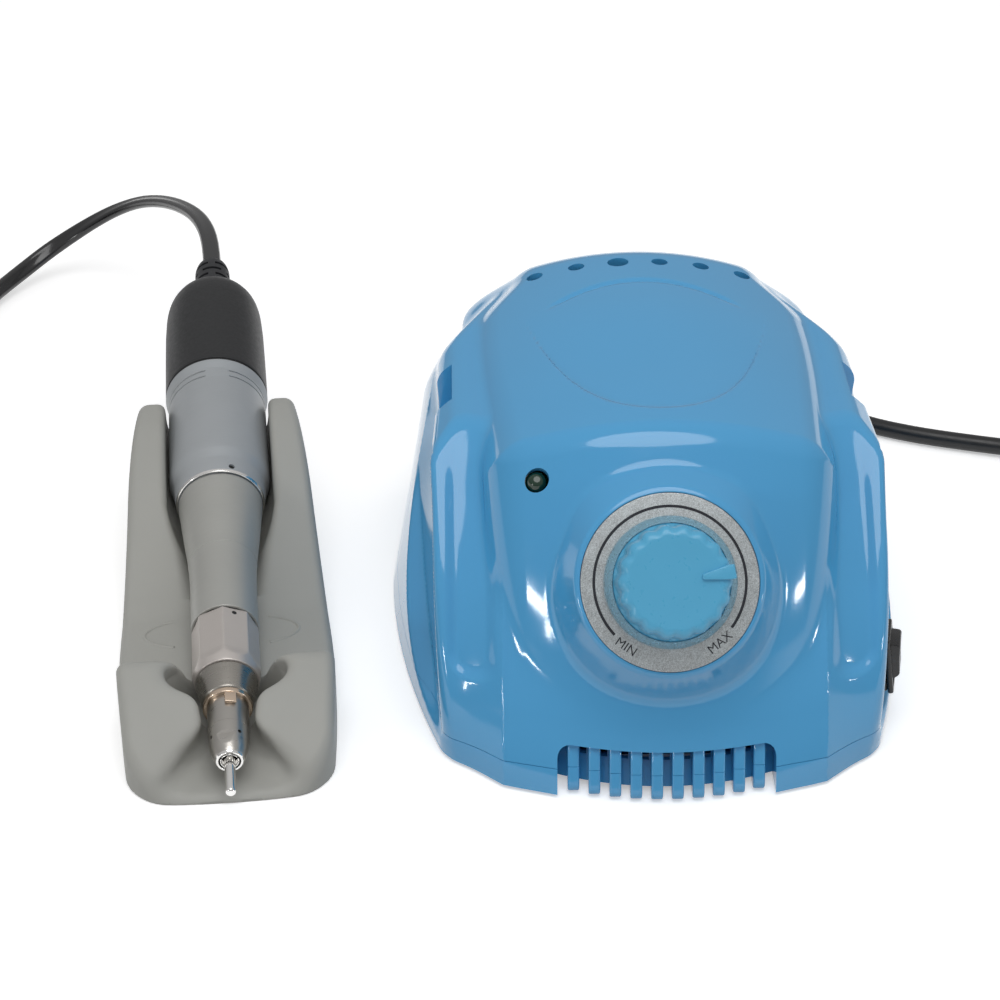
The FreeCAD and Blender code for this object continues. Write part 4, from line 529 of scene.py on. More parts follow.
def hood_field(x, y, z):
    """Hood: a leaning bowed front, a flat brow above it, a crowned top and a rounded tail that narrows."""
    across = np.minimum(np.abs(x), 60.0)
    z_in = z + crown(across)
    sag = 0.8 * np.clip((y - RIDGE_Y) / 38.8, -1.4, 1.4) ** 2
    fold = y - 45.0 - 0.03 * across ** 2 - 3.9e-5 * across ** 4
    tongue = 0.9 * between(fold, -1.4, 1.4) * (1 - between(y, 62.0, 100.0))
    arc = y - 109.0 + 9.0 * (across / 22.5) ** 2
    groove = 0.55 * np.exp(-((arc / 0.9) ** 2)) * (1 - between(across, 18.5, 24.0))
    top = z_in - HOOD_TOP + sag + tongue + groove
    front = (HOOD_LEAN * (z_in - FLOOR_Z) - FRONT_SET - skirt(z) - y + bow(across)) * 0.9387
    facet = (z_in - FACET[1] + FACET[2] * (FACET[0] - y)) * 0.743
    ahead = round_max(round_max(front, facet, 16.0), top, 3.0)
    ty, tz = y - TAIL[0], z_in - TAIL[1]
    tail = np.where((ty > 0) & (tz > 0), np.hypot(ty, tz) - TAIL[2], np.where(tz <= 0, y - CASE_REAR, top))
    profile = np.where(y > RIDGE_Y, tail, ahead)
    half = 39.5 - 1.5 * np.clip((z - FLOOR_Z) / 72.4, 0, 1) + 5.0 * between(y, 25.0, 100.0)
    half = half - 9.2 * between(y, 105.0, 126.0) * between(z, 54.0, 65.5)
    return round_max(profile * 0.96, (np.abs(x) - half) * 0.93, 8.0)


def wing_field(x, y, z):
    """Wings: a leaning panel with a shallow recess, a crest, a scooped flank and a top cut off behind."""
    across = np.abs(x)
    rise = np.clip((z - FLOOR_Z) / 60.4, -0.05, 1.1)
    crest_x = 48.3 + 3.2 * np.sin(math.pi / 2 * np.clip(rise, 0, 1))
    crest_y = 15.6 + 41.0 * rise ** 2
    inner_y = crest_y - 8.4 + 5.8 * rise - skirt(z)
    t = np.maximum((across - PANEL_INNER) / (crest_x - PANEL_INNER), 0)
    inside = np.clip(t, 0, 1)
    panel_y = inner_y + (crest_y - inner_y) * t + (0.3 + 2.7 * rise) * 4 * inside * (1 - inside)
    recess = round_max(np.abs(across - RECESS_MIDDLE) - RECESS_HALF, RECESS_FLOOR - z, 4.5)
    panel_y += 1.2 * between(-recess, -0.8, 2.0) * (1 - between(z, 50.0, 60.0))
    panel = (panel_y - y) / np.sqrt(1.15 + (1.36 * rise) ** 2)
    narrowing = z - FLOOR_Z
    rear_x, flank_x = 54.6 - 0.11 * narrowing, 60.9 - 0.205 * narrowing
    flank_y = crest_y + 0.59 * (CASE_REAR - crest_y)
    s = (y - crest_y) / (flank_y - crest_y)
    along = np.clip(s, 0, 1)
    ledge = 4.0 + 0.0045 * np.maximum(y - 16.0, 0) ** 2
    scoop = 4.4 * between(z - ledge, -0.6, 2.6) * (1 - between(rise, 0.72, 1.0))
    bulge = 2.8 * (1 - rise) - scoop
    ahead = crest_x + (flank_x - crest_x) * s + bulge * 4 * along * (1 - along)
    b = (y - flank_y) / (CASE_REAR - flank_y)
    behind = flank_x + (rear_x - flank_x) * b + 1.3 * 4 * b * (1 - b)
    side = (across - np.where(s < 1, ahead, behind)) * 0.95
    cut = (z - WING_CORNER[2] + 1.36 * (across - WING_CORNER[0]) + 0.62 * (y - WING_CORNER[1])) / 1.798
    slope = (z - WING_TOP - 1.3 + 0.90 * (across - 43.5)) * 0.743
    shoulder = soft_max(soft_max(z - WING_TOP, slope, 2.0), cut, 1.2)
    body = round_max(round_max(panel, side, 2.4), shoulder, 1.8)
    ty, tz = np.maximum(y - 118.0, 0) / 22.0, np.maximum(z - 45.0, 0) / 18.5
    tail = np.where(tz > 0, (np.hypot(ty, tz) - 1) * 18.0, y - CASE_REAR)
    return round_max(body, np.maximum(tail, y - CASE_REAR), 1.5)


DIAL_IN_CASE = np.array((CASE.inverted() @ DIAL).inverted())


def boss_field(x, y, z):
    """Boss under the dial: a wall that is steep at the sides and runs up gently into the brow."""
    u, v, h = in_frame(DIAL_IN_CASE, x, y, z)
    reach = np.maximum(np.hypot(u, v), 1e-6)
    up = v / reach
    fall = 1.9 - 0.8 * between(up, 0.30, 0.85) - 0.45 * between(-up, 0.2, 1.0)
    beyond = np.maximum(reach - BOSS_RIM, -3.0)
    wall = (h - BOSS_TOP + fall * beyond) / np.sqrt(1 + fall ** 2)
    return np.maximum(round_max(wall, h - BOSS_TOP, 0.7), -h - 9.0)


def case_field(x, y, z):
    """Outside of the whole case."""
    case = soft_min(hood_field(x, y, z), wing_field(x, y, z), 1.8 + 6.0 * (1 - between(z, 12.0, 28.0)))
    return soft_min(case, boss_field(x, y, z), 1.0)


def common(*fields):
    """What all the fields share, with sharp edges."""
    return np.maximum.reduce(fields)


def inner_field(x, y, z):
    """Hollow of the case, kept clear of the grille's recess, the cradle slots and the dial's seat."""
    outer = case_field(x, y, z)
    grille = common(np.abs(x) - GRILLE_HALF - WALL, z - GRILLE_TOP - WALL, -outer - GRILLE_RECESS - WALL)
    (x0, x1), (y0, y1), z0 = SLOT_BOX
    beside = np.abs(np.abs(x) - (x0 + x1) / 2) - (x1 - x0) / 2 - WALL
    slot = common(beside, np.abs(y - (y0 + y1) / 2) - (y1 - y0) / 2 - WALL, z0 - WALL - z)
    u, v, h = in_frame(DIAL_IN_CASE, x, y, z)
    seat = common(np.hypot(u, v) - BOSS_RIM, -h - WALL)
    return common(outer + WALL, -grille, -slot, -seat, FLOOR_Z + WALL - z)


def hollow_skin(name, low, high, step):
    """Outer skin of the case with the hollow inside it, between two heights."""
    outer = field_skin(
        name, lambda x, y, z: common(case_field(x, y, z), low - z, z - high),
        (-66, -8, low - 2), (66, 146, high + 2), step, CASE, settle=5,
    )
    inner = field_skin(
        name + "_hollow", lambda x, y, z: common(inner_field(x, y, z), low + 0.6 - z, z - high + 0.6),
        (-64, -6, low - 1), (64, 144, high + 1), 2.0, CASE, settle=2,
    )
    inner.data.flip_normals()
    return joined(name, [outer, inner])


def rectangle(x0, x1, y0, y1, corner, steps=5):
    """Outline with rounded corners."""
    left, right, low, high = x0 + corner, x1 - corner, y0 + corner, y1 - corner
    points = []
    for cx, cy, start in ((right, low, -90), (right, high, 0), (left, high, 90), (left, low, 180)):
        for k in range(steps + 1):
            angle = math.radians(start + 90 * k / steps)
            points.append((cx + corner * math.cos(angle), cy + corner * math.sin(angle)))
    return points


def drill(name, diameter, low, high, place, around=64):
    """Straight round pin or cutter between two heights of its frame."""
    angles = [2 * math.pi * k / around for k in range(around)]
    outline = [(diameter / 2 * math.cos(a), diameter / 2 * math.sin(a)) for a in angles]
    return prism(name, outline, low, high, place)


def grille_cutter():
    """Room for the grille, with rounded upper corners."""
    lying = CASE @ turned_by(90, "X")
    return prism("grille_room", rectangle(-GRILLE_HALF, GRILLE_HALF, -12, GRILLE_TOP, 3.0), -11.5, 20, lying)


def grille_front(x, z):
    """How far back the case's front lies at a place of the grille."""
    return bow(x) + HOOD_LEAN * (z + crown(x) - FLOOR_Z) - FRONT_SET


RIB_DEPTH, RIB_HEEL, PANEL_THICKNESS = 5.2, 2.0, 1.2
LOWER_ROWS = (0.6, 0.75, 1.1, 1.7, 2.5, 3.5, 5.0, 6.2, 6.34)
UPPER_ROWS = (6.46, 6.6, 8.0, 9.5, 10.5, 11.5, 12.5)
WINDOW_LOW, WINDOW_HIGH, PANEL_TOP = 7.2, 10.6, 12.6


def grille_rib(x, width, heights):
    """Upright bar that follows the case's front and curls in at its lower end."""
    rows = []
    for z in heights:
        curl = RIB_HEEL - math.sqrt(max(0.0, RIB_HEEL ** 2 - max(0.0, 2.6 - z) ** 2))
        sink = 0.12 + 0.5 * between(z, 9.5, 11.5)
        rows.append((grille_front(x, z) + curl + sink, grille_front(x, z) + RIB_DEPTH, z))
    outlines = [
        [(x + cx, cy, z) for cx, cy in rectangle(-width / 2, width / 2, y0, y1, 0.45, 3)]
        for y0, y1, z in rows
    ]
    around = len(outlines[0])
    vertices = [spot for outline in outlines for spot in outline]
    faces = grid_faces(len(rows), around)
    faces += [tuple(reversed(range(around))), tuple(range(len(vertices) - around, len(vertices)))]
    return new_object("rib", vertices, faces, CASE, 50)


def grille_panel(x0, x1, z0, z1, columns=2):
    """Piece of the curved wall behind the ribs."""
    vertices = []
    for z in (z0, z1):
        for k in range(columns + 1):
            x = x0 + (x1 - x0) * k / columns
            wall = grille_front(x, z) + GRILLE_RECESS
            vertices += [(x, wall, z), (x, wall + PANEL_THICKNESS, z)]
    row = 2 * (columns + 1)
    faces = [(0, 1, row + 1, row), (row - 2, row - 1, 2 * row - 1, 2 * row - 2)]
    for k in range(columns):
        a = 2 * k
        faces += [(a, a + 2, row + a + 2, row + a), (a + 1, a + 3, row + a + 3, row + a + 1)]
        faces += [(a, a + 1, a + 3, a + 2), (row + a, row + a + 1, row + a + 3, row + a + 2)]
    return new_object("grille_panel", vertices, faces, CASE, 30)


def grille(count, pitch, width):
    """Ribs in two lengths that meet at the seam, and the wall behind them with windows between the ribs."""
    half = GRILLE_HALF + 0.6
    items = [
        grille_panel(-half, half, FLOOR_Z, WINDOW_LOW, 24),
        grille_panel(-half, half, WINDOW_HIGH, PANEL_TOP, 24),
    ]
    for index in range(count):
        x = pitch * (index - (count - 1) / 2)
        items.append(grille_rib(x, width, LOWER_ROWS))
        items.append(grille_rib(x, width, UPPER_ROWS))
        items.append(grille_panel(x - width / 2 - 0.25, x + width / 2 + 0.25, WINDOW_LOW, WINDOW_HIGH))
    for side in (-1, 1):
        low, high = sorted((side * half, side * (pitch * (count - 1) / 2 + width / 2 + 0.3)))
        items.append(grille_panel(low, high, WINDOW_LOW, WINDOW_HIGH))
    return joined("grille_ribs", items)


def housing_cutters(vent_diameter):
    """Everything that is cut out of the upper housing."""
    (x0, x1), (y0, y1), z0 = SLOT_BOX
    tools = [
        block("below_seam", CUT, CASE @ moved(0, 70, SEAM_Z - CUT[2] / 2), 0),
        grille_cutter(),
        drill("dial_seat", DIAL_SEAT, 0, 40, DIAL, 128),
        drill("dial_shaft", SHAFT_HOLE, -16, 2, DIAL),
        drill("lamp_hole", LAMP_HOLE, -12, 12, LAMP),
        block("switch_seat", SWITCH_SEAT, SWITCH @ moved(SWITCH_SHIFT, 0, 11.5), 0),
        block("switch_hole", SWITCH_HOLE, SWITCH @ moved(SWITCH_SHIFT, 0, 0), 0),
    ]
    for index in range(VENTS):
        size = vent_diameter + (VENT_EXTRA if index == BIG_VENT else 0.0)
        place = CASE @ moved(VENT_PITCH * (index - (VENTS - 1) / 2), VENT_Y, 0)
        tools.append(drill(f"vent_{index}", size, 60, 90, place))
    for side in (-1, 1):
        middle = CASE @ moved(side * (x0 + x1) / 2, (y0 + y1) / 2, z0 + 20)
        tools.append(block(f"slot_{side}", (x1 - x0, y1 - y0, 40), middle, 0))
        x, y, z = SLIT_PLACE
        slit = CASE @ moved(side * x, y, z) @ turned_by(side * SLIT_TURN, "Z")
        tools.append(block(f"slit_{side}", SLIT_SIZE, slit, 0))
    for name, size, x, z in REAR_HOLES:
        tools.append(drill(name + "_hole", size, -10, 10, REAR @ moved(x, -z, 0)))
    return tools


class MICROMOTOR_OT_case(bpy.types.Operator):
    """Upper housing, base tray and grille"""

    bl_idname = "micromotor.case"
    bl_label = "Case"

    def execute(self, context):
        sizes, looks = context.scene.micromotor_sizes, context.scene.micromotor_looks
        blue = finish(
            "blue_gloss_shell", looks.case_blue, rough=(0.08, 0.12), mottle=0.02, mottle_size=25,
            grain_size=1.2, grain_depth=0.0015, ior=1.5, coat_weight=0.25, coat_roughness=0.05,
        )
        housing = hollow_skin("upper_case", SEAM_Z - 2.0, 90.0, sizes.skin_step)
        tray = hollow_skin("base_case", FLOOR_Z - 2.0, SEAM_Z + 2.0, sizes.skin_step)
        carved(housing, housing_cutters(sizes.vent_diameter))
        above = block("above_seam", CUT, CASE @ moved(0, 70, SEAM_Z - SEAM_GAP + CUT[2] / 2), 0)
        below = block("below_floor", CUT, CASE @ moved(0, 70, EDGE_Z - CUT[2] / 2), 0)
        carved(tray, [above, below, grille_cutter()])
        for item, node in ((housing, "upper_housing"), (tray, "base_tray")):
            field_normals(item, case_field, CASE, 0.08, 0.8)
            fitted(item, blue, "blue_shell", "control_unit", node)
        ribs = grille(sizes.rib_count, sizes.rib_pitch, sizes.rib_width)
        fitted(ribs, blue, "blue_shell", "control_unit")
        return {"FINISHED"}


# Dial, knob, lamp and switch


RANGE_START, RANGE_END, PLATE_TOP = -36.9, 222.8, 0.8
WORDS = (("MIN", 235.0), ("MAX", 309.0))
KNOB_DIAMETER, KNOB_HEIGHT, SKIRT_DIAMETER, SKIRT_BORE = 24.0, 15.0, 28.4, 25.06
LENS_DEPTH = 2.6


def band(name, inner, outer, start, end, low, high, place, steps=120):
    """Flat curved band about a frame's Z axis, between two angles in degrees."""
    vertices = []
    for k in range(steps + 1):
        angle = math.radians(start + (end - start) * k / steps)
        for r, z in ((inner, low), (outer, low), (outer, high), (inner, high)):
            vertices.append((r * math.cos(angle), r * math.sin(angle), z))
    faces = grid_faces(steps + 1, 4)
    faces += [(3, 2, 1, 0), tuple(4 * steps + k for k in range(4))]
    return new_object(name, vertices, faces, place, 30)


def lettering(name, words, size, place, depth=0.03):
    """Raised print: plain words as a thin mesh, centred on the frame."""
    curve = bpy.data.curves.new(name + "_curve", "FONT")
    curve.body = words
    curve.size = size
    curve.align_x, curve.align_y = "CENTER", "CENTER"
    curve.extrude = depth / 2
    curve.resolution_u = 4
    text = bpy.data.objects.new(name + "_text", curve)
    bpy.context.scene.collection.objects.link(text)
    mesh = bpy.data.meshes.new_from_object(text.evaluated_get(bpy.context.evaluated_depsgraph_get()))
    bpy.data.objects.remove(text)
    mesh.transform(Matrix.Scale(MM, 4) @ place @ moved(0, 0, depth / 2))
    return finish_mesh(name, mesh)


def knob_cap(flutes, diameter, height):
    """Cap of the knob: scalloped flanks and a flat face."""
    top = diameter / 2
    profile = [
        (top - 1.4, 0.6), (top + 0.5, 0.6), (top + 0.5, 5.2), (top + 0.25, 6.2), (top - 0.1, height - 1.5),
        (top - 0.8, height - 0.4), (top - 1.9, height), (6.5, height - 0.12), (0.01, height - 0.15),
    ]

    def scallop(angle, r, z):
        share = float(between(z, 5.4, 7.0)) * float(between(r, top - 2.9, top - 0.9))
        wave = 0.5 - 0.5 * math.cos(flutes * angle)
        return r - 0.6 * share * wave ** 1.3

    return lathed("speed_knob_cap", profile, DIAL, 1.2, flutes * 14, 60, 6, scallop)


def knob_skirt(diameter, bore):
    """Clear ring round the foot of the knob."""
    outer, inner = diameter / 2, bore / 2
    profile = [
        (inner, 0.55), (outer - 0.35, 0.5), (outer, 0.95), (outer - 0.1, 3.6), (outer - 0.9, 5.1, 0.9),
        (inner, 5.75), (inner, 0.55),
    ]
    return lathed("speed_knob_skirt", profile, DIAL, 0.3, 160, 40, 4)


class MICROMOTOR_OT_dial(bpy.types.Operator):
    """Dial plate with its printed range, and the speed knob"""

    bl_idname = "micromotor.dial"
    bl_label = "Dial and knob"

    def execute(self, context):
        sizes, looks = context.scene.micromotor_sizes, context.scene.micromotor_looks
        plate = lathed(
            "dial_face", [(3.7, 0.02), (19.05, 0.02), (19.05, PLATE_TOP, 0.18), (3.7, PLATE_TOP)],
            DIAL, 0.15, 160,
        )
        silver = sparkle("silver_sparkle", looks.dial_silver)
        fitted(plate, silver, "silver_plate", "control_unit", "dial_plate")
        ink = finish("dark_print", (0.012, 0.013, 0.02), rough=(0.4, 0.5), grain_depth=0.002)
        printed = [band("dial_range", 15.9, 16.5, RANGE_START, RANGE_END, PLATE_TOP, 0.83, DIAL)]
        for words, angle in WORDS:
            spot = DIAL @ turned_by(angle, "Z") @ moved(16.6, 0, PLATE_TOP) @ turned_by(90, "Z")
            printed.append(lettering("dial_" + words.lower(), words, 2.75, spot))
        fitted(joined("dial_print", printed), ink, "black_plastic", "control_unit")
        knob = knob_cap(sizes.knob_flutes, KNOB_DIAMETER, KNOB_HEIGHT)
        rim = knob_skirt(SKIRT_DIAMETER, SKIRT_BORE)
        wedge = prism(
            "pointer", [(5.6, -0.55), (11.2, -1.55), (12.5, -1.5), (12.5, 1.5), (11.2, 1.55), (5.6, 0.55)],
            14.2, 15.75, DIAL @ turned_by(10, "Z"), 0.25, 3,
        )
        blue = finish(
            "frosted_blue_knob", looks.knob_blue, rough=(0.26, 0.36), mottle=0.03, mottle_size=12,
            grain_size=0.35, grain_depth=0.003, ior=1.46, coat_weight=0.2, coat_roughness=0.25,
        )
        clear = finish(
            "frosted_skirt", looks.skirt_blue, rough=(0.24, 0.32), mottle=0.03, grain_size=0.35,
            grain_depth=0.002, ior=1.3, transmission_weight=0.55,
        )
        fitted(knob, blue, "blue_knob", "knob", "speed_knob")
        fitted(wedge, blue, "blue_knob", "knob")
        fitted(rim, clear, "blue_knob", "knob")
        return {"FINISHED"}


class MICROMOTOR_OT_lamp(bpy.types.Operator):
    """Green power lamp sunk into the case"""

    bl_idname = "micromotor.lamp"
    bl_label = "Power lamp"

    def execute(self, context):
        lens = lathed(
            "lamp_lens",
            [
                (0.01, -5.0), (2.9, -5.0), (2.9, -3.8), (2.2, -3.8), (2.2, -3.0), (2.05, -2.2, 0.6),
                (1.5, -1.5, 0.6), (0.8, -1.2), (0.01, -1.15),
            ],
            LAMP @ moved(0, 0, -LENS_DEPTH), 0.3, 64,
        )
        green = finish(
            "green_resin", (0.002, 0.03, 0.014), rough=(0.05, 0.09), mottle=0.1, mottle_size=2, grain_depth=0,
            ior=1.5, transmission_weight=0.1, coat_weight=0.3, coat_roughness=0.03,
        )
        fitted(lens, green, "lamp_green", "control_unit", "power_lamp")
        return {"FINISHED"}


class MICROMOTOR_OT_switch(bpy.types.Operator):
    """Power switch: a snap-in frame and its rocker"""

    bl_idname = "micromotor.switch"
    bl_label = "Power switch"

    def execute(self, context):
        black = finish(
            "black_switch", (0.012, 0.012, 0.013), rough=(0.22, 0.32), mottle=0.15, mottle_size=4,
            grain_size=0.25, grain_depth=0.003,
        )
        seat = SWITCH @ moved(SWITCH_SHIFT, 0, -0.5)
        rim = prism("switch_rim", rectangle(-7.2, 7.2, -4.9, 4.9, 0.8), 0.0, 1.3, seat, 0.4, 3)
        carved(rim, [block("rocker_room", (11.9, 7.5, 12), seat, 0)])
        rim.data.set_sharp_from_angle(angle=math.radians(35))
        barrel = block("switch_barrel", (13.2, 8.8, 14), seat @ moved(0, 0, -7.02), 0.4)
        carved(barrel, [block("barrel_room", (11.9, 7.5, 26), seat, 0)])
        shell = joined("switch_rim_and_barrel", [rim, barrel])
        fitted(shell, black, "black_plastic", "control_unit", "switch_frame")
        hinge = seat @ moved(0, 0, -0.4) @ turned_by(12, "Y")
        outline = [
            (-5.6, -3.0), (-5.6, 2.3), (-5.2, 2.8), (-2.6, 3.05), (0.0, 3.4), (2.0, 3.75), (2.6, 3.4),
            (5.2, 0.9), (5.6, 0.4), (5.6, -3.0),
        ]
        lying = hinge @ turned_by(90, "X")
        rocker = prism("switch_paddle", outline, -3.5, 3.5, lying, 0.3, 2)
        fitted(rocker, black, "black_plastic", "rocker", "switch_rocker")
        white = finish("white_print", (0.75, 0.75, 0.73), rough=(0.4, 0.5), grain_depth=0.002)
        spot = hinge @ moved(-1.4, -0.6, 3.24) @ turned_by(-7.5, "Y")
        dash = block("switch_on_mark", (2.6, 0.5, 0.08), spot, 0.02, 1)
        fitted(dash, white, "black_plastic", "rocker")
        return {"FINISHED"}


# Handpiece, turned about the axis that runs back from the tool; angles are from the top, to the right


def at_angle(angle, radius, station):
    """Frame on a turned piece of the handpiece, with Z pointing out of its surface and Y back along it."""
    return HAND @ moved(0, 0, station) @ turned_by(angle, "Z") @ moved(0, -radius, 0) @ turned_by(90, "X")


def steel(name, colour, rough, mottle=0.05, grain_depth=0.0012, metallic=1.0):
    """Turned metal: fine rings round the handpiece's axis."""
    return finish(
        name, colour, rough, mottle=mottle, mottle_size=7, grain_size=0.12, grain_depth=grain_depth,
        lay=(HAND, (6.0, 6.0, 1.0)), metallic=metallic,
    )


NOSE_TIP, RING_FRONT, RING_REAR = 9.8, 26.4, 27.6
COLLAR_FRONT, COLLAR_REAR, SLEEVE_REAR = 34.9, 52.8, 99.5
BARREL_REAR, CAP_REAR, RELIEF_REAR = 143.9, 192.0, 207.8


class MICROMOTOR_OT_nose(bpy.types.Operator):
    """Tool, collet, nose barrel, lock ring and nose cone"""

    bl_idname = "micromotor.nose"
    bl_label = "Handpiece nose"

    def execute(self, context):
        looks = context.scene.micromotor_looks
        satin = steel("satin_steel", looks.nose_steel, (0.27, 0.38))
        bright = steel("polished_steel", (0.80, 0.79, 0.77), (0.06, 0.13), grain_depth=0.0005)
        gold = steel("rose_gold_ring", looks.ring_gold, (0.16, 0.26))
        # Near-black finish for the floors of holes and grooves and the gap at the cap: painted shade.
        shadow = finish("dark_hole", (0.006, 0.006, 0.006), rough=(0.5, 0.6), grain_depth=0)
        shank = lathed(
            "tool_shank_bright",
            [(0.01, 0.08), (0.75, 0.11), (1.12, 0.5), (1.175, 1.3), (1.175, 37.9), (0.01, 37.9)],
            HAND, 0.4, 64,
        )
        fitted(shank, bright, "bright_steel", "tool", "tool_shank")
        collet = lathed(
            "collet_face",
            [
                (1.24, 34.0), (1.24, 11.2), (1.36, 10.6), (1.98, 9.75), (2.12, 9.95), (2.12, 34.0), (1.24, 34.0),
            ],
            HAND, 0.12, 72, 30,
        )
        jaws = [HAND @ turned_by(120 * k, "Z") @ moved(0, 1.9, 12.5) for k in range(3)]
        slits = [block(f"slit_{k}", (0.35, 3, 9), jaw, 0) for k, jaw in enumerate(jaws)]
        carved(collet, slits)
        collet.data.set_sharp_from_angle(angle=math.radians(35))
        fitted(collet, bright, "bright_steel", "spindle", "collet")
        barrel = lathed(
            "nose_shell",
            [
                (3.6, 26.3), (2.45, 15.0), (2.36, NOSE_TIP + 0.5), (2.5, NOSE_TIP), (2.85, NOSE_TIP),
                (3.05, NOSE_TIP + 0.28), (3.42, NOSE_TIP + 0.9, 0.7), (4.02, NOSE_TIP + 2.6, 1.6),
                (4.42, NOSE_TIP + 5.2, 2.0), (4.58, NOSE_TIP + 8.6, 1.6), (4.6, RING_FRONT), (4.6, 26.6),
                (3.6, 26.6), (3.6, 26.3),
            ],
            HAND, 0.16, 128, 26, 5,
        )
        lying = HAND @ turned_by(-8, "Z") @ turned_by(90, "Y")
        corners = [(-15.9, -4.9), (-14.85, -3.86), (-8.0, -3.86), (-8.0, -7.0), (-15.9, -7.0)]
        notch = prism("lens_cut", corners, -5, 5, lying)
        spots = [at_angle(angle, 4.1, 15.3) for angle in (-58, 34)]
        holes = [drill(f"nose_hole_{k}", 0.85, -1.2, 2, spot, 24) for k, spot in enumerate(spots)]
        corners = [(4.54, 18.35), (5.2, 18.3), (5.2, 18.62), (4.54, 18.57), (4.54, 18.35)]
        line = lathed("fine_line", corners, HAND, 0, 128)
        carved(barrel, [notch, line] + holes)
        barrel.data.set_sharp_from_angle(angle=math.radians(24))
        fitted(barrel, satin, "steel", "straight_handpiece", "nose_barrel")
        rim = lathed(
            "nose_rim",
            [
                (2.38, NOSE_TIP + 0.42), (2.46, NOSE_TIP - 0.03), (2.9, NOSE_TIP - 0.04),
                (3.09, NOSE_TIP + 0.24), (3.2, NOSE_TIP + 0.46), (3.1, NOSE_TIP + 0.5),
                (2.38, NOSE_TIP + 0.42),
            ],
            HAND, 0.1, 96, 60,
        )
        fitted(rim, bright, "bright_steel", "straight_handpiece")
        # Dark discs at the floors of the two nose holes: painted shade.
        hole_floor_shades = [drill(f"hole_floor_{k}", 0.86, -0.75, -0.45, spot, 24) for k, spot in enumerate(spots)]
        fitted(joined("nose_hole_floors", hole_floor_shades), shadow, "black_plastic", "straight_handpiece")
        ring = lathed(
            "lock_ring_gold",
            [
                (4.64, RING_FRONT), (5.42, RING_FRONT), (5.55, RING_FRONT + 0.15), (5.55, RING_REAR),
                (4.64, RING_REAR), (4.64, RING_FRONT),
            ],
            HAND, 0.08, 128, 30,
        )
        tab_place = HAND @ turned_by(9, "Z")
        tab = block("ring_tab", (2.6, 0.75, 3.4), tab_place @ moved(0, -4.98, RING_FRONT - 1.3), 0.16)
        fitted(joined("lock_ring_and_tab", [ring, tab]), gold, "brass", "straight_handpiece", "lock_ring")
        cone = lathed(
            "nose_cone_shell",
            [
                (4.3, RING_REAR + 0.05), (5.25, RING_REAR + 0.05), (5.8, RING_REAR + 0.35, 0.3),
                (6.35, RING_REAR + 3.2, 1.5), (7.0, COLLAR_FRONT - 0.5, 0.4), (6.92, COLLAR_FRONT - 0.18),
                (6.6, COLLAR_FRONT - 0.1), (4.3, COLLAR_FRONT - 0.1), (4.3, RING_REAR + 0.05),
            ],
            HAND, 0.1, 128, 30,
        )
        dark = steel("cone_steel", looks.cone_steel, (0.24, 0.34))
        fitted(cone, dark, "steel", "straight_handpiece", "nose_cone")
        return {"FINISHED"}


def collar_field(flats):
    """Twist collar: a grip ring with flat scoops that end round at the front."""
    step = 2 * math.pi / flats
    ridge = math.radians(-90 - 1.6)

    def field(x, y, z):
        reach = np.hypot(x, y)
        angle = np.arctan2(y, x) - ridge
        folded = (angle + math.pi * 4) % step - step / 2
        front = np.clip((z - COLLAR_FRONT) / 4.4, 0, 1)
        outer = 7.28 + 0.52 * (1 - (1 - front) ** 2)
        ramp = np.clip(39.7 - z, 0, None)
        flat = reach * np.cos(folded) - (7.76 * math.cos(step / 2) + 0.055 * ramp + 0.052 * ramp ** 2)
        body = round_max(reach - outer, flat, 0.22)
        shell = np.maximum(body, 4.4 - reach)
        ends = np.maximum(COLLAR_FRONT - z, z - COLLAR_REAR + 0.12)
        return round_max(shell, ends, 0.18)

    return field


class MICROMOTOR_OT_sleeve(bpy.types.Operator):
    """Twist collar and the sleeve behind it"""

    bl_idname = "micromotor.sleeve"
    bl_label = "Collar and sleeve"

    def execute(self, context):
        sizes, looks = context.scene.micromotor_sizes, context.scene.micromotor_looks
        field = collar_field(sizes.collar_flats)
        low, high = (-8.6, -8.6, COLLAR_FRONT - 1), (8.6, 8.6, COLLAR_REAR + 1)
        collar = field_skin("grip_collar", field, low, high, 0.24, HAND)
        mark = at_angle(19.5, 7.3, 51.2)
        carved(collar, [drill("collar_mark", 1.15, -0.5, 2, mark, 24)])
        field_normals(collar, field, HAND, 0.02, 0.85)
        warm = steel("warm_steel", looks.collar_steel, (0.34, 0.44), metallic=0.6)
        fitted(collar, warm, "steel", "collar", "twist_collar")
        shadow = bpy.data.materials["dark_hole"]
        # Dark disc at the floor of the collar's mark hole: painted shade.
        spot = drill("collar_hole_shade", 1.17, -0.5, -0.14, mark, 24)
        fitted(spot, shadow, "black_plastic", "collar")
        sleeve = lathed(
            "sleeve_shell",
            [
                (7.2, COLLAR_REAR + 0.06), (7.68, COLLAR_REAR + 0.06), (7.8, COLLAR_REAR + 0.2),
                (7.8, 69.0, 4), (8.12, 77.0, 4), (8.95, 84.5, 4), (9.72, 93.0, 3), (10.14, 97.6, 1.5),
                (10.2, 98.8), (10.0, SLEEVE_REAR), (8.2, SLEEVE_REAR), (8.2, 76.0), (7.2, 76.0),
                (7.2, COLLAR_REAR + 0.06),
            ],
            HAND, 0.12, 144, 30, 8,
        )
        satin = steel("sleeve_satin", looks.sleeve_grey, (0.40, 0.50), mottle=0.03, metallic=0.45)
        fitted(sleeve, satin, "steel", "straight_handpiece", "handpiece_sleeve")
        return {"FINISHED"}


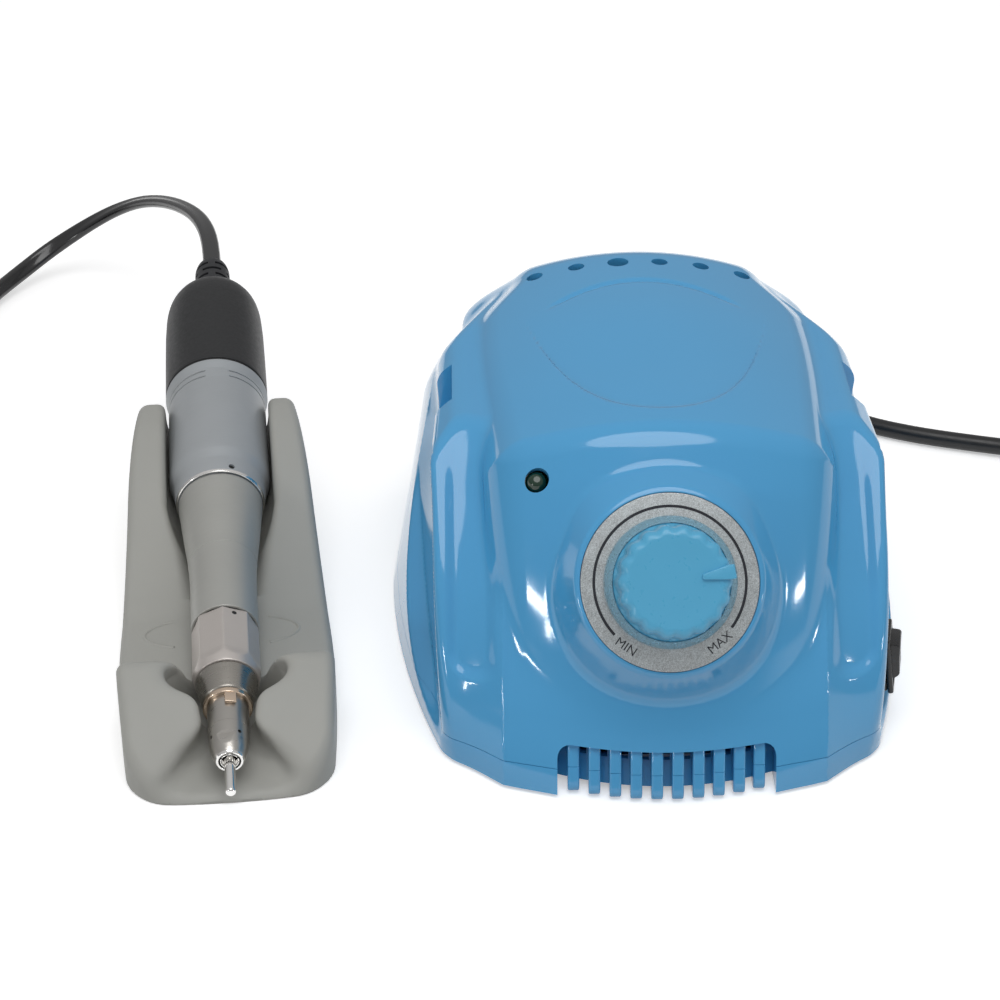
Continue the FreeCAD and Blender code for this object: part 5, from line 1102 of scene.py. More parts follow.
class MICROMOTOR_OT_motor(bpy.types.Operator):
    """Motor barrel with its marking grooves, rear cap and strain relief"""

    bl_idname = "micromotor.motor"
    bl_label = "Motor"

    def execute(self, context):
        looks = context.scene.micromotor_looks
        silver = steel("anodised_silver", looks.barrel_silver, (0.38, 0.48), mottle=0.03, metallic=0.22)
        bright = bpy.data.materials["polished_steel"]
        shadow = bpy.data.materials["dark_hole"]
        radius, grooves = 12.35, (137.7, 140.0)
        break_half, break_middle = 15.0, 3.0  # degrees of the top that the grooves leave out

        def engraved(angle, r, z):
            from_top = abs((math.degrees(angle) + 90 - break_middle + 180) % 360 - 180)
            return radius if r < 12.2 and 137 < z < 141 and from_top < break_half else r

        profile = [
            (7.6, SLEEVE_REAR + 0.3), (10.35, SLEEVE_REAR + 0.3), (10.75, SLEEVE_REAR + 0.75, 0.3),
            (11.1, 102.4, 1.5), (11.3, 104.8, 0.8), (11.55, 105.7, 0.5), (12.2, 107.7, 0.6),
            (radius, 109.2, 0.8),
        ]
        for z in grooves:
            profile += [(radius, z - 0.26), (12.02, z - 0.19), (12.02, z + 0.19), (radius, z + 0.26)]
        profile += [
            (radius, 141.0, 0.2), (12.98, 143.0, 0.5), (13.08, BARREL_REAR - 0.3), (12.9, BARREL_REAR),
            (11.4, BARREL_REAR), (11.4, 109.0), (7.6, 105.0), (7.6, SLEEVE_REAR + 0.3),
        ]
        barrel = lathed("motor_barrel", profile, HAND, 0.05, 240, 28, 4, engraved)
        mark = at_angle(17.5, 10.8, 101.4)
        carved(barrel, [drill("barrel_mark", 1.5, -0.8, 2, mark, 28)])
        barrel.data.set_sharp_from_angle(angle=math.radians(28))
        fitted(barrel, silver, "grey_metal", "motor", "motor_housing")
        # Dark disc in the mark hole and dark bands in the floors of the two grooves: painted shade.
        mark_shades = [drill("barrel_dot_shade", 1.52, -0.75, -0.3, mark, 28)]
        start, end = -90 + break_middle + break_half, 270 + break_middle - break_half
        for index, z in enumerate(grooves):
            mark_shades.append(band(f"groove_{index}", 11.9, 12.06, start, end, z - 0.32, z + 0.32, HAND, 180))
        fitted(joined("barrel_mark_shades", mark_shades), shadow, "black_plastic", "motor")
        lip = lathed(
            "front_lip",
            [
                (10.24, SLEEVE_REAR + 0.2), (10.4, SLEEVE_REAR + 0.02), (10.62, SLEEVE_REAR + 0.1),
                (10.86, SLEEVE_REAR + 0.72), (10.3, SLEEVE_REAR + 0.72), (10.24, SLEEVE_REAR + 0.2),
            ],
            HAND, 0.08, 160, 50,
        )
        fitted(lip, bright, "bright_steel", "motor")
        charcoal = finish(
            "charcoal_cap", looks.charcoal, rough=(0.42, 0.52), mottle=0.06, mottle_size=8, grain_size=0.22,
            grain_depth=0.006, specular_ior_level=0.45,
        )
        cap = lathed(
            "motor_cap",
            [
                (11.4, BARREL_REAR + 0.05), (12.7, BARREL_REAR + 0.05), (12.7, BARREL_REAR + 0.75),
                (13.0, BARREL_REAR + 0.8), (13.08, BARREL_REAR + 1.6), (13.06, 160.0, 6), (12.95, 171.5, 2.4),
                (12.6, 179.4, 4), (11.9, 183.6, 2.6), (10.3, 187.2, 2.6), (7.7, 190.2, 2.4), (4.75, CAP_REAR),
                (4.0, CAP_REAR), (4.0, CAP_REAR - 2), (11.4, 172.0), (11.4, BARREL_REAR + 0.05),
            ],
            HAND, 0.15, 144, 40, 6,
        )
        fitted(cap, charcoal, "black_plastic", "motor", "rear_cap")
        # Dark ring at the floor of the gap between the barrel and the cap: painted shade.
        seam = lathed(
            "cap_seam",
            [
                (12.0, BARREL_REAR - 0.02), (12.82, BARREL_REAR - 0.02), (12.82, BARREL_REAR + 0.85),
                (12.0, BARREL_REAR + 0.85), (12.0, BARREL_REAR - 0.02),
            ],
            HAND, 0.03, 144, 30,
        )
        fitted(seam, shadow, "black_plastic", "motor")
        relief = lathed(
            "relief_body",
            [
                (2.45, CAP_REAR - 4), (4.72, CAP_REAR - 1.5), (4.78, CAP_REAR + 0.6),
                (4.72, CAP_REAR + 11.6, 1.5), (4.1, CAP_REAR + 14.1, 1.2), (3.3, RELIEF_REAR - 0.4),
                (2.9, RELIEF_REAR - 0.05), (2.45, RELIEF_REAR - 0.3), (2.45, CAP_REAR - 4),
            ],
            HAND, 0.3, 96, 40, 5,
        )
        gaps = []
        for row in range(4):
            z = CAP_REAR + 2.6 + 2.75 * row
            for side in range(4):
                start = 90 * side + (45 if row % 2 else 0) - 33
                name = f"relief_gap_{row}_{side}"
                gaps.append(band(name, 3.5, 5.6, start, start + 66, z - 0.5, z + 0.5, HAND, 20))
        carved(relief, gaps)
        relief.data.set_sharp_from_angle(angle=math.radians(30))
        rubber = finish(
            "charcoal_rubber", looks.rubber, rough=(0.5, 0.62), mottle=0.08, grain_size=0.2,
            grain_depth=0.006,
        )
        fitted(relief, rubber, "black_rubber", "motor", "lead_strain_relief")
        return {"FINISHED"}


# Rest


REST_FRONT, REST_LENGTH, REST_HALF, REST_FLOOR, REST_LOBE, REST_POST = 6.8, 131.0, 24.75, 9.0, 20.0, 34.0
CRADLE = (
    (-60, 5.0), (13, 5.1), (20, 5.5), (25, 6.3), (29, 7.3), (33, 8.15), (73.4, 8.25), (74.1, 10.7),
    (88, 10.8), (99.1, 12.98), (220, 13.05),
)
OVAL_MIDDLE, OVAL_LENGTH, OVAL_WIDTH, OVAL_SIDES = (-67.3, -41.5, 0), 18.0, 6.9, 8


def through(a, b, c):
    """Circle through three points of a side view: its middle and its radius."""
    (ax, ay), (bx, by), (cx, cy) = a, b, c
    d = 2 * (ax * (by - cy) + bx * (cy - ay) + cx * (ay - by))
    aa, bb, cc = ax ** 2 + ay ** 2, bx ** 2 + by ** 2, cx ** 2 + cy ** 2
    u = (aa * (by - cy) + bb * (cy - ay) + cc * (ay - by)) / d
    v = (aa * (cx - bx) + bb * (ax - cx) + cc * (bx - ax)) / d
    return u, v, math.hypot(ax - u, ay - v)


def rest_height(y):
    """Height of the rest along the handpiece: front lobes, a flat floor, rising sides and rear posts."""
    t = y - REST_FRONT
    rear, shoulder = REST_LENGTH, REST_POST - 9
    places = [-50, 0, 30, 32, 34.5, 62, 92, rear, rear + 50]
    heights = [3, 3, REST_LOBE - 1.2, 15.5, REST_FLOOR, 9.5, shoulder, shoulder, shoulder]
    height = np.interp(t, places, heights)
    arcs = (
        ((0, 3), (14, 14), (27, REST_LOBE), 0, 27),
        ((27, REST_LOBE), (30, REST_LOBE - 1.2), (32, 15.5), 27, 32),
        ((62, 9.5), (78, 15.5), (92, shoulder), 62, 92),
        ((92, shoulder), (106, REST_POST - 1.8), (rear - 9, REST_POST), 92, rear - 9),
        ((rear - 9, REST_POST), (rear - 2.6, REST_POST - 2.6), (rear, shoulder), rear - 9, rear),
    )
    for a, b, c, low, high in arcs:
        u, v, radius = through(a, b, c)
        side = 1 if b[1] > v else -1
        span = np.clip(t, low, high)
        level = v + side * np.sqrt(np.maximum(radius ** 2 - (span - u) ** 2, 0))
        height = np.where((t >= low) & (t <= high), level, height)
    return height


REST_TO_HAND = np.array(HAND.inverted() @ REST)


def rest_field(x, y, z):
    """Rest: a moulded block with the handpiece's cradle, a funnel in front and a pocket under the collar."""
    height = sum(rest_height(y + d) for d in (-1.5, -0.75, 0, 0.75, 1.5)) / 5
    slope = (rest_height(y + 1.5) - rest_height(y - 1.5)) / 3
    top = (z - height) / np.sqrt(1 + slope ** 2)
    t = y - REST_FRONT
    narrowing = np.where(t < 46, 3.0 * ((46 - t) / 46) ** 2, 5.75 * (np.maximum(t - 46, 0) / 85) ** 1.56)
    side = REST_HALF - narrowing
    plan = round_max((np.abs(x) - side) * 0.995, -t + x ** 2 / 260.0, 9.0)
    plan = round_max(plan, t - REST_LENGTH, 5.0)
    body = round_max(top, plan, 2.4)
    u, v, s = in_frame(REST_TO_HAND, x, y, z)
    room = np.interp(s, *zip(*CRADLE))
    cradle = np.where(v > 0, np.hypot(u, v), np.abs(u)) - room
    base = 1.7 + 0.10 * np.clip(t, 0, 30) - z
    funnel = soft_max((np.hypot(u * 0.82, v - 4.0) - 2.0 - (26.0 - s) * 0.6) * 0.86, base, 4.0)
    pocket = (np.hypot(u / (13.6 - 0.3 * np.clip(15.0 - z, 0, 10)), (s - 33.5) / 7.0) - 1) * 6.2
    pocket = soft_max(pocket, 3.6 - z, 2.0)
    body = soft_max(body, -cradle, 2.2)
    body = soft_max(body, -funnel, 3.0)
    body = soft_max(body, -pocket, 2.2)
    return round_max(body, -z, 0.6)


def rest_oval():
    """Fine raised line of two arcs on the floor of the rest, under the collar and the sleeve."""
    ring, faces, count = [], [], 48
    for first, last in ((-52, 52), (128, 232)):
        start, end = math.radians(first), math.radians(last)
        base = len(ring)
        for k in range(count + 1):
            angle = start + (end - start) * k / count
            spot = Vector((OVAL_LENGTH * math.cos(angle), OVAL_WIDTH * math.sin(angle), 0))
            out = Vector((math.cos(angle) / OVAL_LENGTH, math.sin(angle) / OVAL_WIDTH, 0)).normalized()
            local = REST.inverted() @ (Vector(OVAL_MIDDLE) + REST.to_3x3() @ spot)
            floor = float(rest_height(np.array([local.y]))[0])
            for j in range(OVAL_SIDES):
                turn = 2 * math.pi * j / OVAL_SIDES
                around = out * 0.42 * math.cos(turn) + Vector((0, 0, 0.3 * math.sin(turn)))
                ring.append(local + around + Vector((0, 0, floor)))
        faces += [tuple(base + n for n in f) for f in grid_faces(count + 1, OVAL_SIDES)]
        faces.append(tuple(base + j for j in reversed(range(OVAL_SIDES))))
        faces.append(tuple(base + count * OVAL_SIDES + j for j in range(OVAL_SIDES)))
    return new_object("rest_oval", ring, faces, REST, 60)


class MICROMOTOR_OT_rest(bpy.types.Operator):
    """Rest that the handpiece lies in"""

    bl_idname = "micromotor.rest"
    bl_label = "Handpiece rest"

    def execute(self, context):
        looks = context.scene.micromotor_looks
        grey = finish(
            "matte_grey_rest", looks.rest_grey, rough=(0.5, 0.6), mottle=0.035, mottle_size=14,
            grain_size=0.3, grain_depth=0.006, specular_ior_level=0.4,
        )
        rest = field_skin("rest_block", rest_field, (-28, 3, -2), (28, 142, 38), 0.6, REST)
        field_normals(rest, rest_field, REST, 0.05, 0.8)
        fitted(rest, grey, "grey_rest", "control_unit", "handpiece_rest")
        oval = rest_oval()
        fitted(oval, grey, "grey_rest", "control_unit")
        return {"FINISHED"}


# Cords: the routes of the solids, with the coils worked out turn by turn


LAYERS, COIL_PITCH, CORD_DIAMETER = 4, 5.3, 4.6
LEAD_LENGTH, MAINS_LENGTH = 1500.0, 1800.0
SMOOTHING = 0.985  # length of the smooth curve over that of its control polygon


class Coil:
    """Wound cord that goes on from the end of a route: one layer's turns spiral in, the next layer's out."""

    def __init__(self, start, heading, side, layer_turns, tail_turns, length, end_height):
        self.side, self.layer_turns, self.turns = side, layer_turns, LAYERS * layer_turns
        self.tail_turns, self.end_height = tail_turns, end_height
        mean = (length - 2 * CORD_DIAMETER) / (2 * math.pi * (self.turns + tail_turns)) - 0.06 * COIL_PITCH
        self.outer = mean + layer_turns * COIL_PITCH / 2
        self.inner = mean - layer_turns * COIL_PITCH / 2
        self.entry = start + heading * CORD_DIAMETER
        across = Vector((-heading.y, heading.x, 0)) * side
        self.centre = self.entry + across * self.outer
        self.first_angle = math.atan2(-across.y, -across.x)

    def point(self, turn):
        """Place on the cord's axis after so many turns."""
        wound = min(turn, self.turns)
        layer = min(LAYERS - 1, int(wound / self.layer_turns))
        share = wound / self.layer_turns - layer
        inward = share if layer % 2 == 0 else 1 - share
        radius = self.outer - inward * (self.outer - self.inner)
        climbs = [smooth((wound - k * self.layer_turns) / 0.5 + 0.5) for k in range(1, LAYERS)]
        height = self.entry.z + COIL_PITCH * sum(climbs)
        if turn > self.turns:
            tail = (turn - self.turns) / self.tail_turns
            radius += 1.25 * COIL_PITCH * smooth(2.2 * tail)
            height += (self.end_height - height) * smooth((tail - 0.3) / 0.7)
        angle = self.first_angle + self.side * 2 * math.pi * turn
        x, y = self.centre.x + radius * math.cos(angle), self.centre.y + radius * math.sin(angle)
        return Vector((x, y, height))

    def points(self, per_turn=16):
        """Control points of the coil, with a straight end for the plug."""
        last = self.turns + self.tail_turns
        count = int(last * per_turn)
        spots = [self.point(last * k / count) for k in range(count + 1)]
        ahead = spots[-1] - self.point(last - 0.01)
        ahead.z = 0
        return spots + [spots[-1] + ahead.normalized() * CORD_DIAMETER]


def route_length(points):
    """Length of the straight lines through the points."""
    return sum((b - a).length for a, b in zip(points, points[1:]))


LEAD_ROUTE = [
    tuple(HAND @ Vector((0, 0, RELIEF_REAR))), tuple(HAND @ Vector((0, 0, RELIEF_REAR + 13))),
    (-85.0, 130.0, 39.6),
    (-91.0, 144.0, 37.4), (-98.6, 157.1, 34.0), (-106.9, 167.6, 29.6), (-115.0, 173.8, 24.6),
    (-122.6, 176.9, 19.6), (-130.4, 177.8, 14.4), (-138.4, 175.8, 9.6), (-145.6, 169.6, 5.8),
    (-151.8, 159.0, 4.1), (-156.8, 144.4, 3.85), (-161.4, 130.0, 3.85),
]
GLAND = REAR @ moved(9, -14, 0)
GLAND_END = GLAND @ Vector((0, 0, 22))
MAINS_ROUTE = [
    tuple(GLAND_END), (GLAND_END.x, GLAND_END.y + 10, GLAND_END.z - 0.3), (44.8, 87.5, 11.6),
    (52.1, 96.8, 8.4), (63.2, 100.4, 5.2), (74.4, 97.6, 3.2), (83.4, 89.6, 2.5), (91.2, 79.6, 2.5),
    (101.0, 70.8, 2.5), (113.1, 64.6, 2.5), (127.1, 59.6, 2.6), (142.6, 54.6, 2.9), (159.1, 49.0, 3.85),
    (175.6, 44.5, 3.85),
]


def cord_spline(name, points):
    """Smooth curve through control points given in millimetres."""
    curve = bpy.data.curves.new(name, "CURVE")
    curve.dimensions = "3D"
    curve.resolution_u = 4
    spline = curve.splines.new("NURBS")
    spline.points.add(len(points) - 1)
    for spot, point in zip(points, spline.points):
        point.co = (*(Vector(spot) * MM), 1)
    spline.order_u = 3
    spline.use_endpoint_u = True
    return curve


def spline_points(name, points):
    """Points in metres along the smooth curve through control points."""
    item = bpy.data.objects.new(name, cord_spline(name, points))
    bpy.context.scene.collection.objects.link(item)
    mesh = bpy.data.meshes.new_from_object(item.evaluated_get(bpy.context.evaluated_depsgraph_get()))
    result = [v.co.copy() for v in mesh.vertices]
    bpy.data.objects.remove(item)
    bpy.data.meshes.remove(mesh)
    return result


def full_route(route, length, side, layer_turns, tail_turns, end_height):
    """Control points of a whole cord: its free route and then its coil."""
    free = [Vector(p) for p in route]
    heading = (free[-1] - free[-2]).normalized()
    heading.z = 0
    left_over = length - route_length(free) * SMOOTHING
    coil = Coil(free[-1], heading.normalized(), side, layer_turns, tail_turns, left_over, end_height)
    return free + coil.points()


def twin_flex(name, path, radius, spread, turned_from, turned_to, turn_over, around=12):
    """Two insulated wires side by side, moulded as one, whose flat side turns over a share of the length."""
    section = []
    for side in (1, -1):
        start = -110 if side > 0 else 70
        for k in range(around + 1):
            angle = math.radians(start + 220 * k / around)
            section.append((side * spread + radius * math.cos(angle), radius * math.sin(angle)))
    vertices = []
    lengths = [0.0]
    for a, b in zip(path, path[1:]):
        lengths.append(lengths[-1] + (b - a).length)
    up = Vector((0, 0, 1))
    for index, spot in enumerate(path):
        ahead = (path[min(index + 1, len(path) - 1)] - path[max(index - 1, 0)]).normalized()
        across = ahead.cross(up).normalized()
        over = across.cross(ahead).normalized()
        share = between(lengths[index], turn_over[0] * lengths[-1], turn_over[1] * lengths[-1])
        turn = math.radians(turned_from + (turned_to - turned_from) * float(share))
        x_way = across * math.cos(turn) + over * math.sin(turn)
        y_way = over * math.cos(turn) - across * math.sin(turn)
        for x, y in section:
            vertices.append(spot + (x_way * x + y_way * y) * MM)
    count = len(section)
    faces = grid_faces(len(path), count)
    faces += [tuple(reversed(range(count))), tuple(range(len(vertices) - count, len(vertices)))]
    mesh = bpy.data.meshes.new(name)
    mesh.from_pydata(vertices, [], faces)
    return finish_mesh(name, mesh, 50)


class MICROMOTOR_OT_lead(bpy.types.Operator):
    """Twin-core lead of the handpiece with its coil, tie and plug"""

    bl_idname = "micromotor.lead"
    bl_label = "Handpiece lead"

    def execute(self, context):
        looks = context.scene.micromotor_looks
        gloss = finish(
            "glossy_black_flex", looks.cord_black, rough=(0.16, 0.26), mottle=0.1, mottle_size=6,
            grain_size=0.6, grain_depth=0.006, coat_weight=0.35, coat_roughness=0.12,
        )
        points = full_route(LEAD_ROUTE, LEAD_LENGTH, -1, 2.0, 0.45, 6.5)
        path = spline_points("lead_line", points)
        lead = twin_flex("twin_flex_lead", path, 1.42, 1.08, 0, 90, (0.02, 0.13))
        wear(lead, gloss)
        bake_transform(lead)
        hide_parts("handpiece_lead", "lead_coil")
        plug_black = finish(
            "moulded_black_plug", (0.014, 0.014, 0.015), rough=(0.34, 0.46), grain_size=0.3,
            grain_depth=0.008,
        )
        for node in ("cord_ties", "lead_plug", "mains_plug"):
            dress(node, plug_black)
        return {"FINISHED"}


class MICROMOTOR_OT_mains(bpy.types.Operator):
    """Mains cord with its coil and plug"""

    bl_idname = "micromotor.mains"
    bl_label = "Mains cord"

    def execute(self, context):
        looks = context.scene.micromotor_looks
        black = finish(
            "black_cord", looks.cord_black, rough=(0.3, 0.4), mottle=0.1, mottle_size=6, grain_size=0.5,
            grain_depth=0.008,
        )
        points = full_route(MAINS_ROUTE, MAINS_LENGTH, 1, 2.25, 0.36, 7.05)
        curve = cord_spline("mains_flex", points)
        curve.bevel_depth = CORD_DIAMETER / 2 * MM
        curve.bevel_resolution = 6
        curve.use_fill_caps = True
        cord = bpy.data.objects.new("mains_flex", curve)
        bpy.context.scene.collection.objects.link(cord)
        fitted(cord, black, "black_rubber", "control_unit", "mains_cord", "mains_coil")
        return {"FINISHED"}


# Solids that keep their shape get their real finishes


class MICROMOTOR_OT_insides(bpy.types.Operator):
    """Finishes of the inner pieces, screws, feet, plugs and rear fittings"""

    bl_idname = "micromotor.insides"
    bl_label = "Inner pieces and fittings"

    def execute(self, context):
        metal = {"metallic": 1.0, "grain_size": 0.3}
        zinc = finish("zinc_steel", (0.55, 0.55, 0.54), rough=(0.28, 0.4), grain_depth=0.002, **metal)
        brass = finish("bare_brass", (0.72, 0.53, 0.22), rough=(0.22, 0.34), grain_depth=0.002, **metal)
        copper = finish(
            "wound_copper", (0.55, 0.22, 0.09), rough=(0.25, 0.4), metallic=0.9, grain_size=0.35,
            grain_depth=0.03,
        )
        iron = finish(
            "core_laminations", (0.09, 0.09, 0.10), rough=(0.4, 0.55), metallic=0.8, grain_size=0.3,
            grain_depth=0.02, lay=(CASE, (8, 8, 0.7)),
        )
        board = finish(
            "board_lacquer", (0.012, 0.12, 0.045), rough=(0.25, 0.4), mottle=0.2, mottle_size=3,
            grain_depth=0.004,
        )
        can = finish("can_sleeve", (0.012, 0.013, 0.05), rough=(0.2, 0.3), grain_depth=0.002)
        black = finish(
            "moulded_fitting", (0.014, 0.014, 0.015), rough=(0.35, 0.48), grain_size=0.25, grain_depth=0.006,
        )
        rubber = finish(
            "foot_rubber", (0.016, 0.016, 0.016), rough=(0.6, 0.75), grain_size=0.3, grain_depth=0.02,
        )
        alloy = finish(
            "extruded_alloy", (0.5, 0.51, 0.52), rough=(0.35, 0.45), metallic=1.0, grain_depth=0.004,
        )
        nickel = finish(
            "nickel_pins", (0.72, 0.71, 0.68), rough=(0.12, 0.22), metallic=1.0, grain_depth=0.001,
        )
        carbon = finish("brush_carbon", (0.03, 0.03, 0.032), rough=(0.4, 0.55), grain_depth=0.01)
        glass = finish(
            "fuse_glass", (0.85, 0.9, 0.9), rough=(0.02, 0.05), grain_depth=0, transmission_weight=0.9,
            ior=1.5,
        )
        groups = (
            (
                zinc, "base_screws", "potentiometer_shaft", "potentiometer_nut", "potentiometer_body",
                "transformer_strap", "inner_screws", "rotor_shaft", "motor_bearings", "spindle", "drive_fork",
                "drive_dog", "spindle_bearings",
            ),
            (brass, "handpiece_socket"),
            (copper, "transformer_winding", "rotor_windings", "commutator"),
            (iron, "transformer_core", "rotor_core", "field_magnets"),
            (board, "circuit_board"),
            (can, "capacitors"),
            (
                black, "fuse_holder", "fuse_cap", "mains_strain_relief", "drive_transistor", "brush_holder",
                "motor_end_plate",
            ),
            (rubber, "rubber_feet"),
            (alloy, "heat_sink", "coupling_nose"),
            (nickel, "lead_plug_pins", "mains_plug_pins"),
            (carbon, "carbon_brushes"),
            (glass, "fuse"),
        )
        for material, *names in groups:
            for name in names:
                dress(name, material)
        return {"FINISHED"}


# Stage: pale floor, soft studio light, the photograph's camera


CAMERA_PLACE, CAMERA_TILT, CAMERA_TURN = (-0.01139, -0.521936, 0.321697), 60, -1.1
FOCAL_LENGTH, SENSOR_WIDTH = 87.84, 36
FLOOR_SHADE, FLOOR_WHITE, FLOOR_GLOW = (0.5, 0.5, 0.5, 1), (0.92, 0.92, 0.92, 1), 0.42
FLOOR_HALF = 4000
SOFTBOXES = (  # name, place, aim, width, height, share of the side power
    ("left_box", (-0.72, -0.75, 0.245), (0.003, -0.076, 0.039), 0.15, 0.06, 1.3),
    ("left_leg", (-0.675, -0.80, 0.17), (0.006, -0.08, 0.031), 0.035, 0.07, 0.35),
    ("right_box", (0.91, -0.575, 0.195), (0.062, -0.076, 0.041), 0.10, 0.045, 0.8),
)


def area(name, place, aim, power, width, height=None):
    """Area light that looks at a point: a rectangle, or a disk if it has no height."""
    light = bpy.data.lights.new(name, "AREA")
    light.shape = "RECTANGLE" if height else "DISK"
    light.size = width
    if height:
        light.size_y = height
    light.energy = power
    lamp = bpy.data.objects.new(name, light)
    bpy.context.scene.collection.objects.link(lamp)
    lamp.location = place
    lamp.rotation_euler = (Vector(aim) - Vector(place)).to_track_quat("-Z", "Y").to_euler()


def place_camera(scene):
    """The photograph's camera."""
    camera = bpy.data.cameras.new("photo_camera")
    camera.lens, camera.sensor_width, camera.clip_start = FOCAL_LENGTH, SENSOR_WIDTH, 0.01
    holder = bpy.data.objects.new("photo_camera", camera)
    scene.collection.objects.link(holder)
    holder.location = CAMERA_PLACE
    holder.rotation_euler = (math.radians(CAMERA_TILT), 0, math.radians(CAMERA_TURN))
    scene.camera = holder


def studio_world(level):
    """World that grows brighter upwards, and that the camera sees as white."""
    world = bpy.data.worlds.new("studio")
    world.use_nodes = True
    nodes, links = world.node_tree.nodes, world.node_tree.links
    back = nodes["Background"]
    place = nodes.new("ShaderNodeTexCoord")
    split = nodes.new("ShaderNodeSeparateXYZ")
    links.new(place.outputs["Generated"], split.inputs["Vector"])
    ramp = nodes.new("ShaderNodeValToRGB")
    ramp.color_ramp.elements[0].position, ramp.color_ramp.elements[0].color = 0.30, (0.30, 0.30, 0.31, 1)
    ramp.color_ramp.elements[1].position, ramp.color_ramp.elements[1].color = 0.95, (1.0, 1.0, 1.0, 1)
    rise = nodes.new("ShaderNodeMapRange")
    rise.inputs["From Min"].default_value, rise.inputs["From Max"].default_value = -1, 1
    links.new(split.outputs["Z"], rise.inputs["Value"])
    links.new(rise.outputs["Result"], ramp.inputs["Fac"])
    links.new(ramp.outputs["Color"], back.inputs["Color"])
    back.inputs["Strength"].default_value = level
    seen = nodes.new("ShaderNodeBackground")
    seen.inputs["Color"].default_value = (1, 1, 1, 1)
    seen.inputs["Strength"].default_value = 1.0
    path = nodes.new("ShaderNodeLightPath")
    mix = nodes.new("ShaderNodeMixShader")
    links.new(path.outputs["Is Camera Ray"], mix.inputs["Fac"])
    links.new(back.outputs["Background"], mix.inputs[1])
    links.new(seen.outputs["Background"], mix.inputs[2])
    links.new(mix.outputs["Shader"], nodes["World Output"].inputs["Surface"])
    return world


def paper():
    """Floor that looks white to the camera and in reflections but lights the pieces less than white."""
    material = bpy.data.materials.new("paper_floor")
    material.use_nodes = True
    nodes, links = material.node_tree.nodes, material.node_tree.links

    def work(operation, first, second=None):
        node = nodes.new("ShaderNodeMath")
        node.operation = operation
        links.new(first, node.inputs[0])
        if second:
            links.new(second, node.inputs[1])
        return node

    shader = nodes["Principled BSDF"]
    shader.inputs["Roughness"].default_value = 0.8
    shader.inputs["Specular IOR Level"].default_value = 0.1
    path = nodes.new("ShaderNodeLightPath")
    mirrored = work("MAXIMUM", path.outputs["Is Glossy Ray"], path.outputs["Is Transmission Ray"])
    seen = work("MAXIMUM", path.outputs["Is Camera Ray"], mirrored.outputs["Value"]).outputs["Value"]
    whiteness = nodes.new("ShaderNodeMix")
    whiteness.data_type = "RGBA"
    whiteness.inputs["A"].default_value = FLOOR_SHADE
    whiteness.inputs["B"].default_value = FLOOR_WHITE
    links.new(seen, whiteness.inputs["Factor"])
    links.new(whiteness.outputs["Result"], shader.inputs["Base Color"])
    shader.inputs["Emission Color"].default_value = (1, 1, 1, 1)
    glow = work("MULTIPLY", seen)
    glow.inputs[1].default_value = FLOOR_GLOW
    links.new(glow.outputs["Value"], shader.inputs["Emission Strength"])
    return material


class MICROMOTOR_OT_stage(bpy.types.Operator):
    """Camera, lights, world and floor"""

    bl_idname = "micromotor.stage"
    bl_label = "Stage"

    def execute(self, context):
        scene, stage = context.scene, context.scene.micromotor_stage
        place_camera(scene)
        scene.world = studio_world(stage.world_level)
        area("overhead", (0.03, -0.36, 0.95), (0.03, -0.05, 0), stage.overhead_power, 0.7)
        for name, place, aim, width, height, share in SOFTBOXES:
            area(name, place, aim, stage.side_power * share, width, height)
        half = FLOOR_HALF
        corners = [(-half, -half, 0), (half, -half, 0), (half, half, 0), (-half, half, 0)]
        floor = new_object("floor", corners, [(0, 1, 2, 3)])
        floor.data.materials.append(paper())
        scene.view_settings.view_transform = "Standard"
        return {"FINISHED"}


# Settings, panel and start


def measure(name, what, value, **limits):
    """Length in millimetres."""
    return bpy.props.FloatProperty(name=name, description=what + " in millimetres", default=value, **limits)


def count(name, what, value):
    """Number of features."""
    return bpy.props.IntProperty(name=name, description=what, default=value)


class MicromotorSizes(bpy.types.PropertyGroup):
    skin_step: measure("Skin step", "Cell of the case's mesh", 0.65, min=0.4, max=3)
    vent_diameter: measure("Vent diameter", "Holes at the rear of the hood", 4.0)
    rib_count: count("Ribs", "Upright bars of the grille", 10)
    rib_pitch: measure("Rib pitch", "From one rib to the next", 4.5)
    rib_width: measure("Rib width", "Width of a rib", 2.55)
    knob_flutes: count("Knob flutes", "Scallops round the speed knob", 18)
    collar_flats: count("Collar flats", "Flats round the twist collar", 8)


def tone(name, what, value):
    """Colour of a piece."""
    return bpy.props.FloatVectorProperty(
        name=name, description=what, default=value, size=3, subtype="COLOR", min=0, max=1,
    )


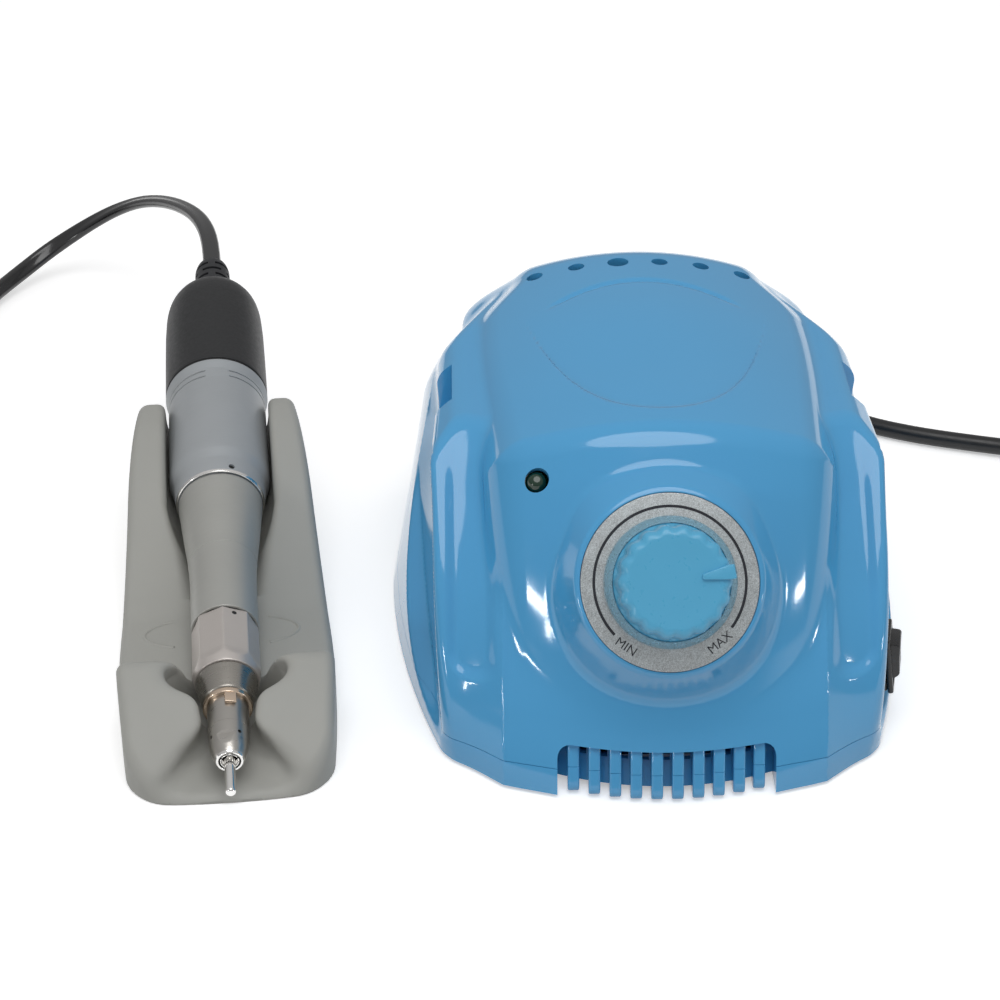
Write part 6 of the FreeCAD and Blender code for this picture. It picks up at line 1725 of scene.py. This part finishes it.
class MicromotorLooks(bpy.types.PropertyGroup):
    case_blue: tone("Case", "Moulded case", (0.071, 0.352, 0.658))
    knob_blue: tone("Knob", "Frosted speed knob", (0.085, 0.40, 0.64))
    skirt_blue: tone("Knob skirt", "Clear skirt of the knob", (0.36, 0.62, 0.76))
    dial_silver: tone("Dial", "Silver dial plate", (0.46, 0.49, 0.50))
    nose_steel: tone("Nose", "Satin steel of the nose", (0.47, 0.45, 0.42))
    cone_steel: tone("Cone", "Nose cone", (0.36, 0.34, 0.31))
    collar_steel: tone("Collar", "Twist collar", (0.56, 0.52, 0.49))
    sleeve_grey: tone("Sleeve", "Handpiece sleeve", (0.42, 0.42, 0.395))
    barrel_silver: tone("Barrel", "Motor barrel", (0.37, 0.39, 0.405))
    ring_gold: tone("Ring", "Lock ring", (0.70, 0.56, 0.44))
    charcoal: tone("Cap", "Motor's rear cap", (0.015, 0.0155, 0.017))
    rubber: tone("Strain relief", "Rubber of the strain relief", (0.022, 0.023, 0.026))
    cord_black: tone("Cords", "Lead and mains cord", (0.012, 0.012, 0.013))
    rest_grey: tone("Rest", "Handpiece rest", (0.37, 0.37, 0.345))


def level(name, what, value, unit="NONE"):
    """Strength of a light."""
    return bpy.props.FloatProperty(name=name, description=what, default=value, min=0, unit=unit)


class MicromotorStage(bpy.types.PropertyGroup):
    world_level: level("World", "Strength of the surrounding light", 0.6)
    overhead_power: level("Overhead", "Power of the overhead softbox", 3.3, "POWER")
    side_power: level("Sides", "Power that the front softboxes have shares of", 0.6, "POWER")


OPERATORS = (
    MICROMOTOR_OT_stage, MICROMOTOR_OT_insides, MICROMOTOR_OT_nose, MICROMOTOR_OT_sleeve, MICROMOTOR_OT_motor,
    MICROMOTOR_OT_rest, MICROMOTOR_OT_lead, MICROMOTOR_OT_mains, MICROMOTOR_OT_dial, MICROMOTOR_OT_lamp,
    MICROMOTOR_OT_switch, MICROMOTOR_OT_case,
)
SETTINGS = (
    ("micromotor_sizes", MicromotorSizes), ("micromotor_looks", MicromotorLooks),
    ("micromotor_stage", MicromotorStage),
)


class VIEW3D_PT_micromotor(bpy.types.Panel):
    """Lists the pieces that can be built and their settings"""

    bl_label = "Micromotor"
    bl_space_type = "VIEW_3D"
    bl_region_type = "UI"
    bl_category = "Micromotor"

    def draw(self, context):
        layout = self.layout
        for item in OPERATORS:
            layout.operator(item.bl_idname)
        for name, group in SETTINGS:
            box = layout.box()
            for field in group.__annotations__:
                box.prop(getattr(context.scene, name), field)


def register():
    for name, group in SETTINGS:
        bpy.utils.register_class(group)
        setattr(bpy.types.Scene, name, bpy.props.PointerProperty(type=group))
    for item in (*OPERATORS, VIEW3D_PT_micromotor):
        bpy.utils.register_class(item)


def unregister():
    for item in (VIEW3D_PT_micromotor, *reversed(OPERATORS)):
        bpy.utils.unregister_class(item)
    for name, group in reversed(SETTINGS):
        delattr(bpy.types.Scene, name)
        bpy.utils.unregister_class(group)


def main():
    register()
    for item in OPERATORS:
        group, name = item.bl_idname.split(".")
        getattr(getattr(bpy.ops, group), name)()


if __name__ == "__main__":
    main()
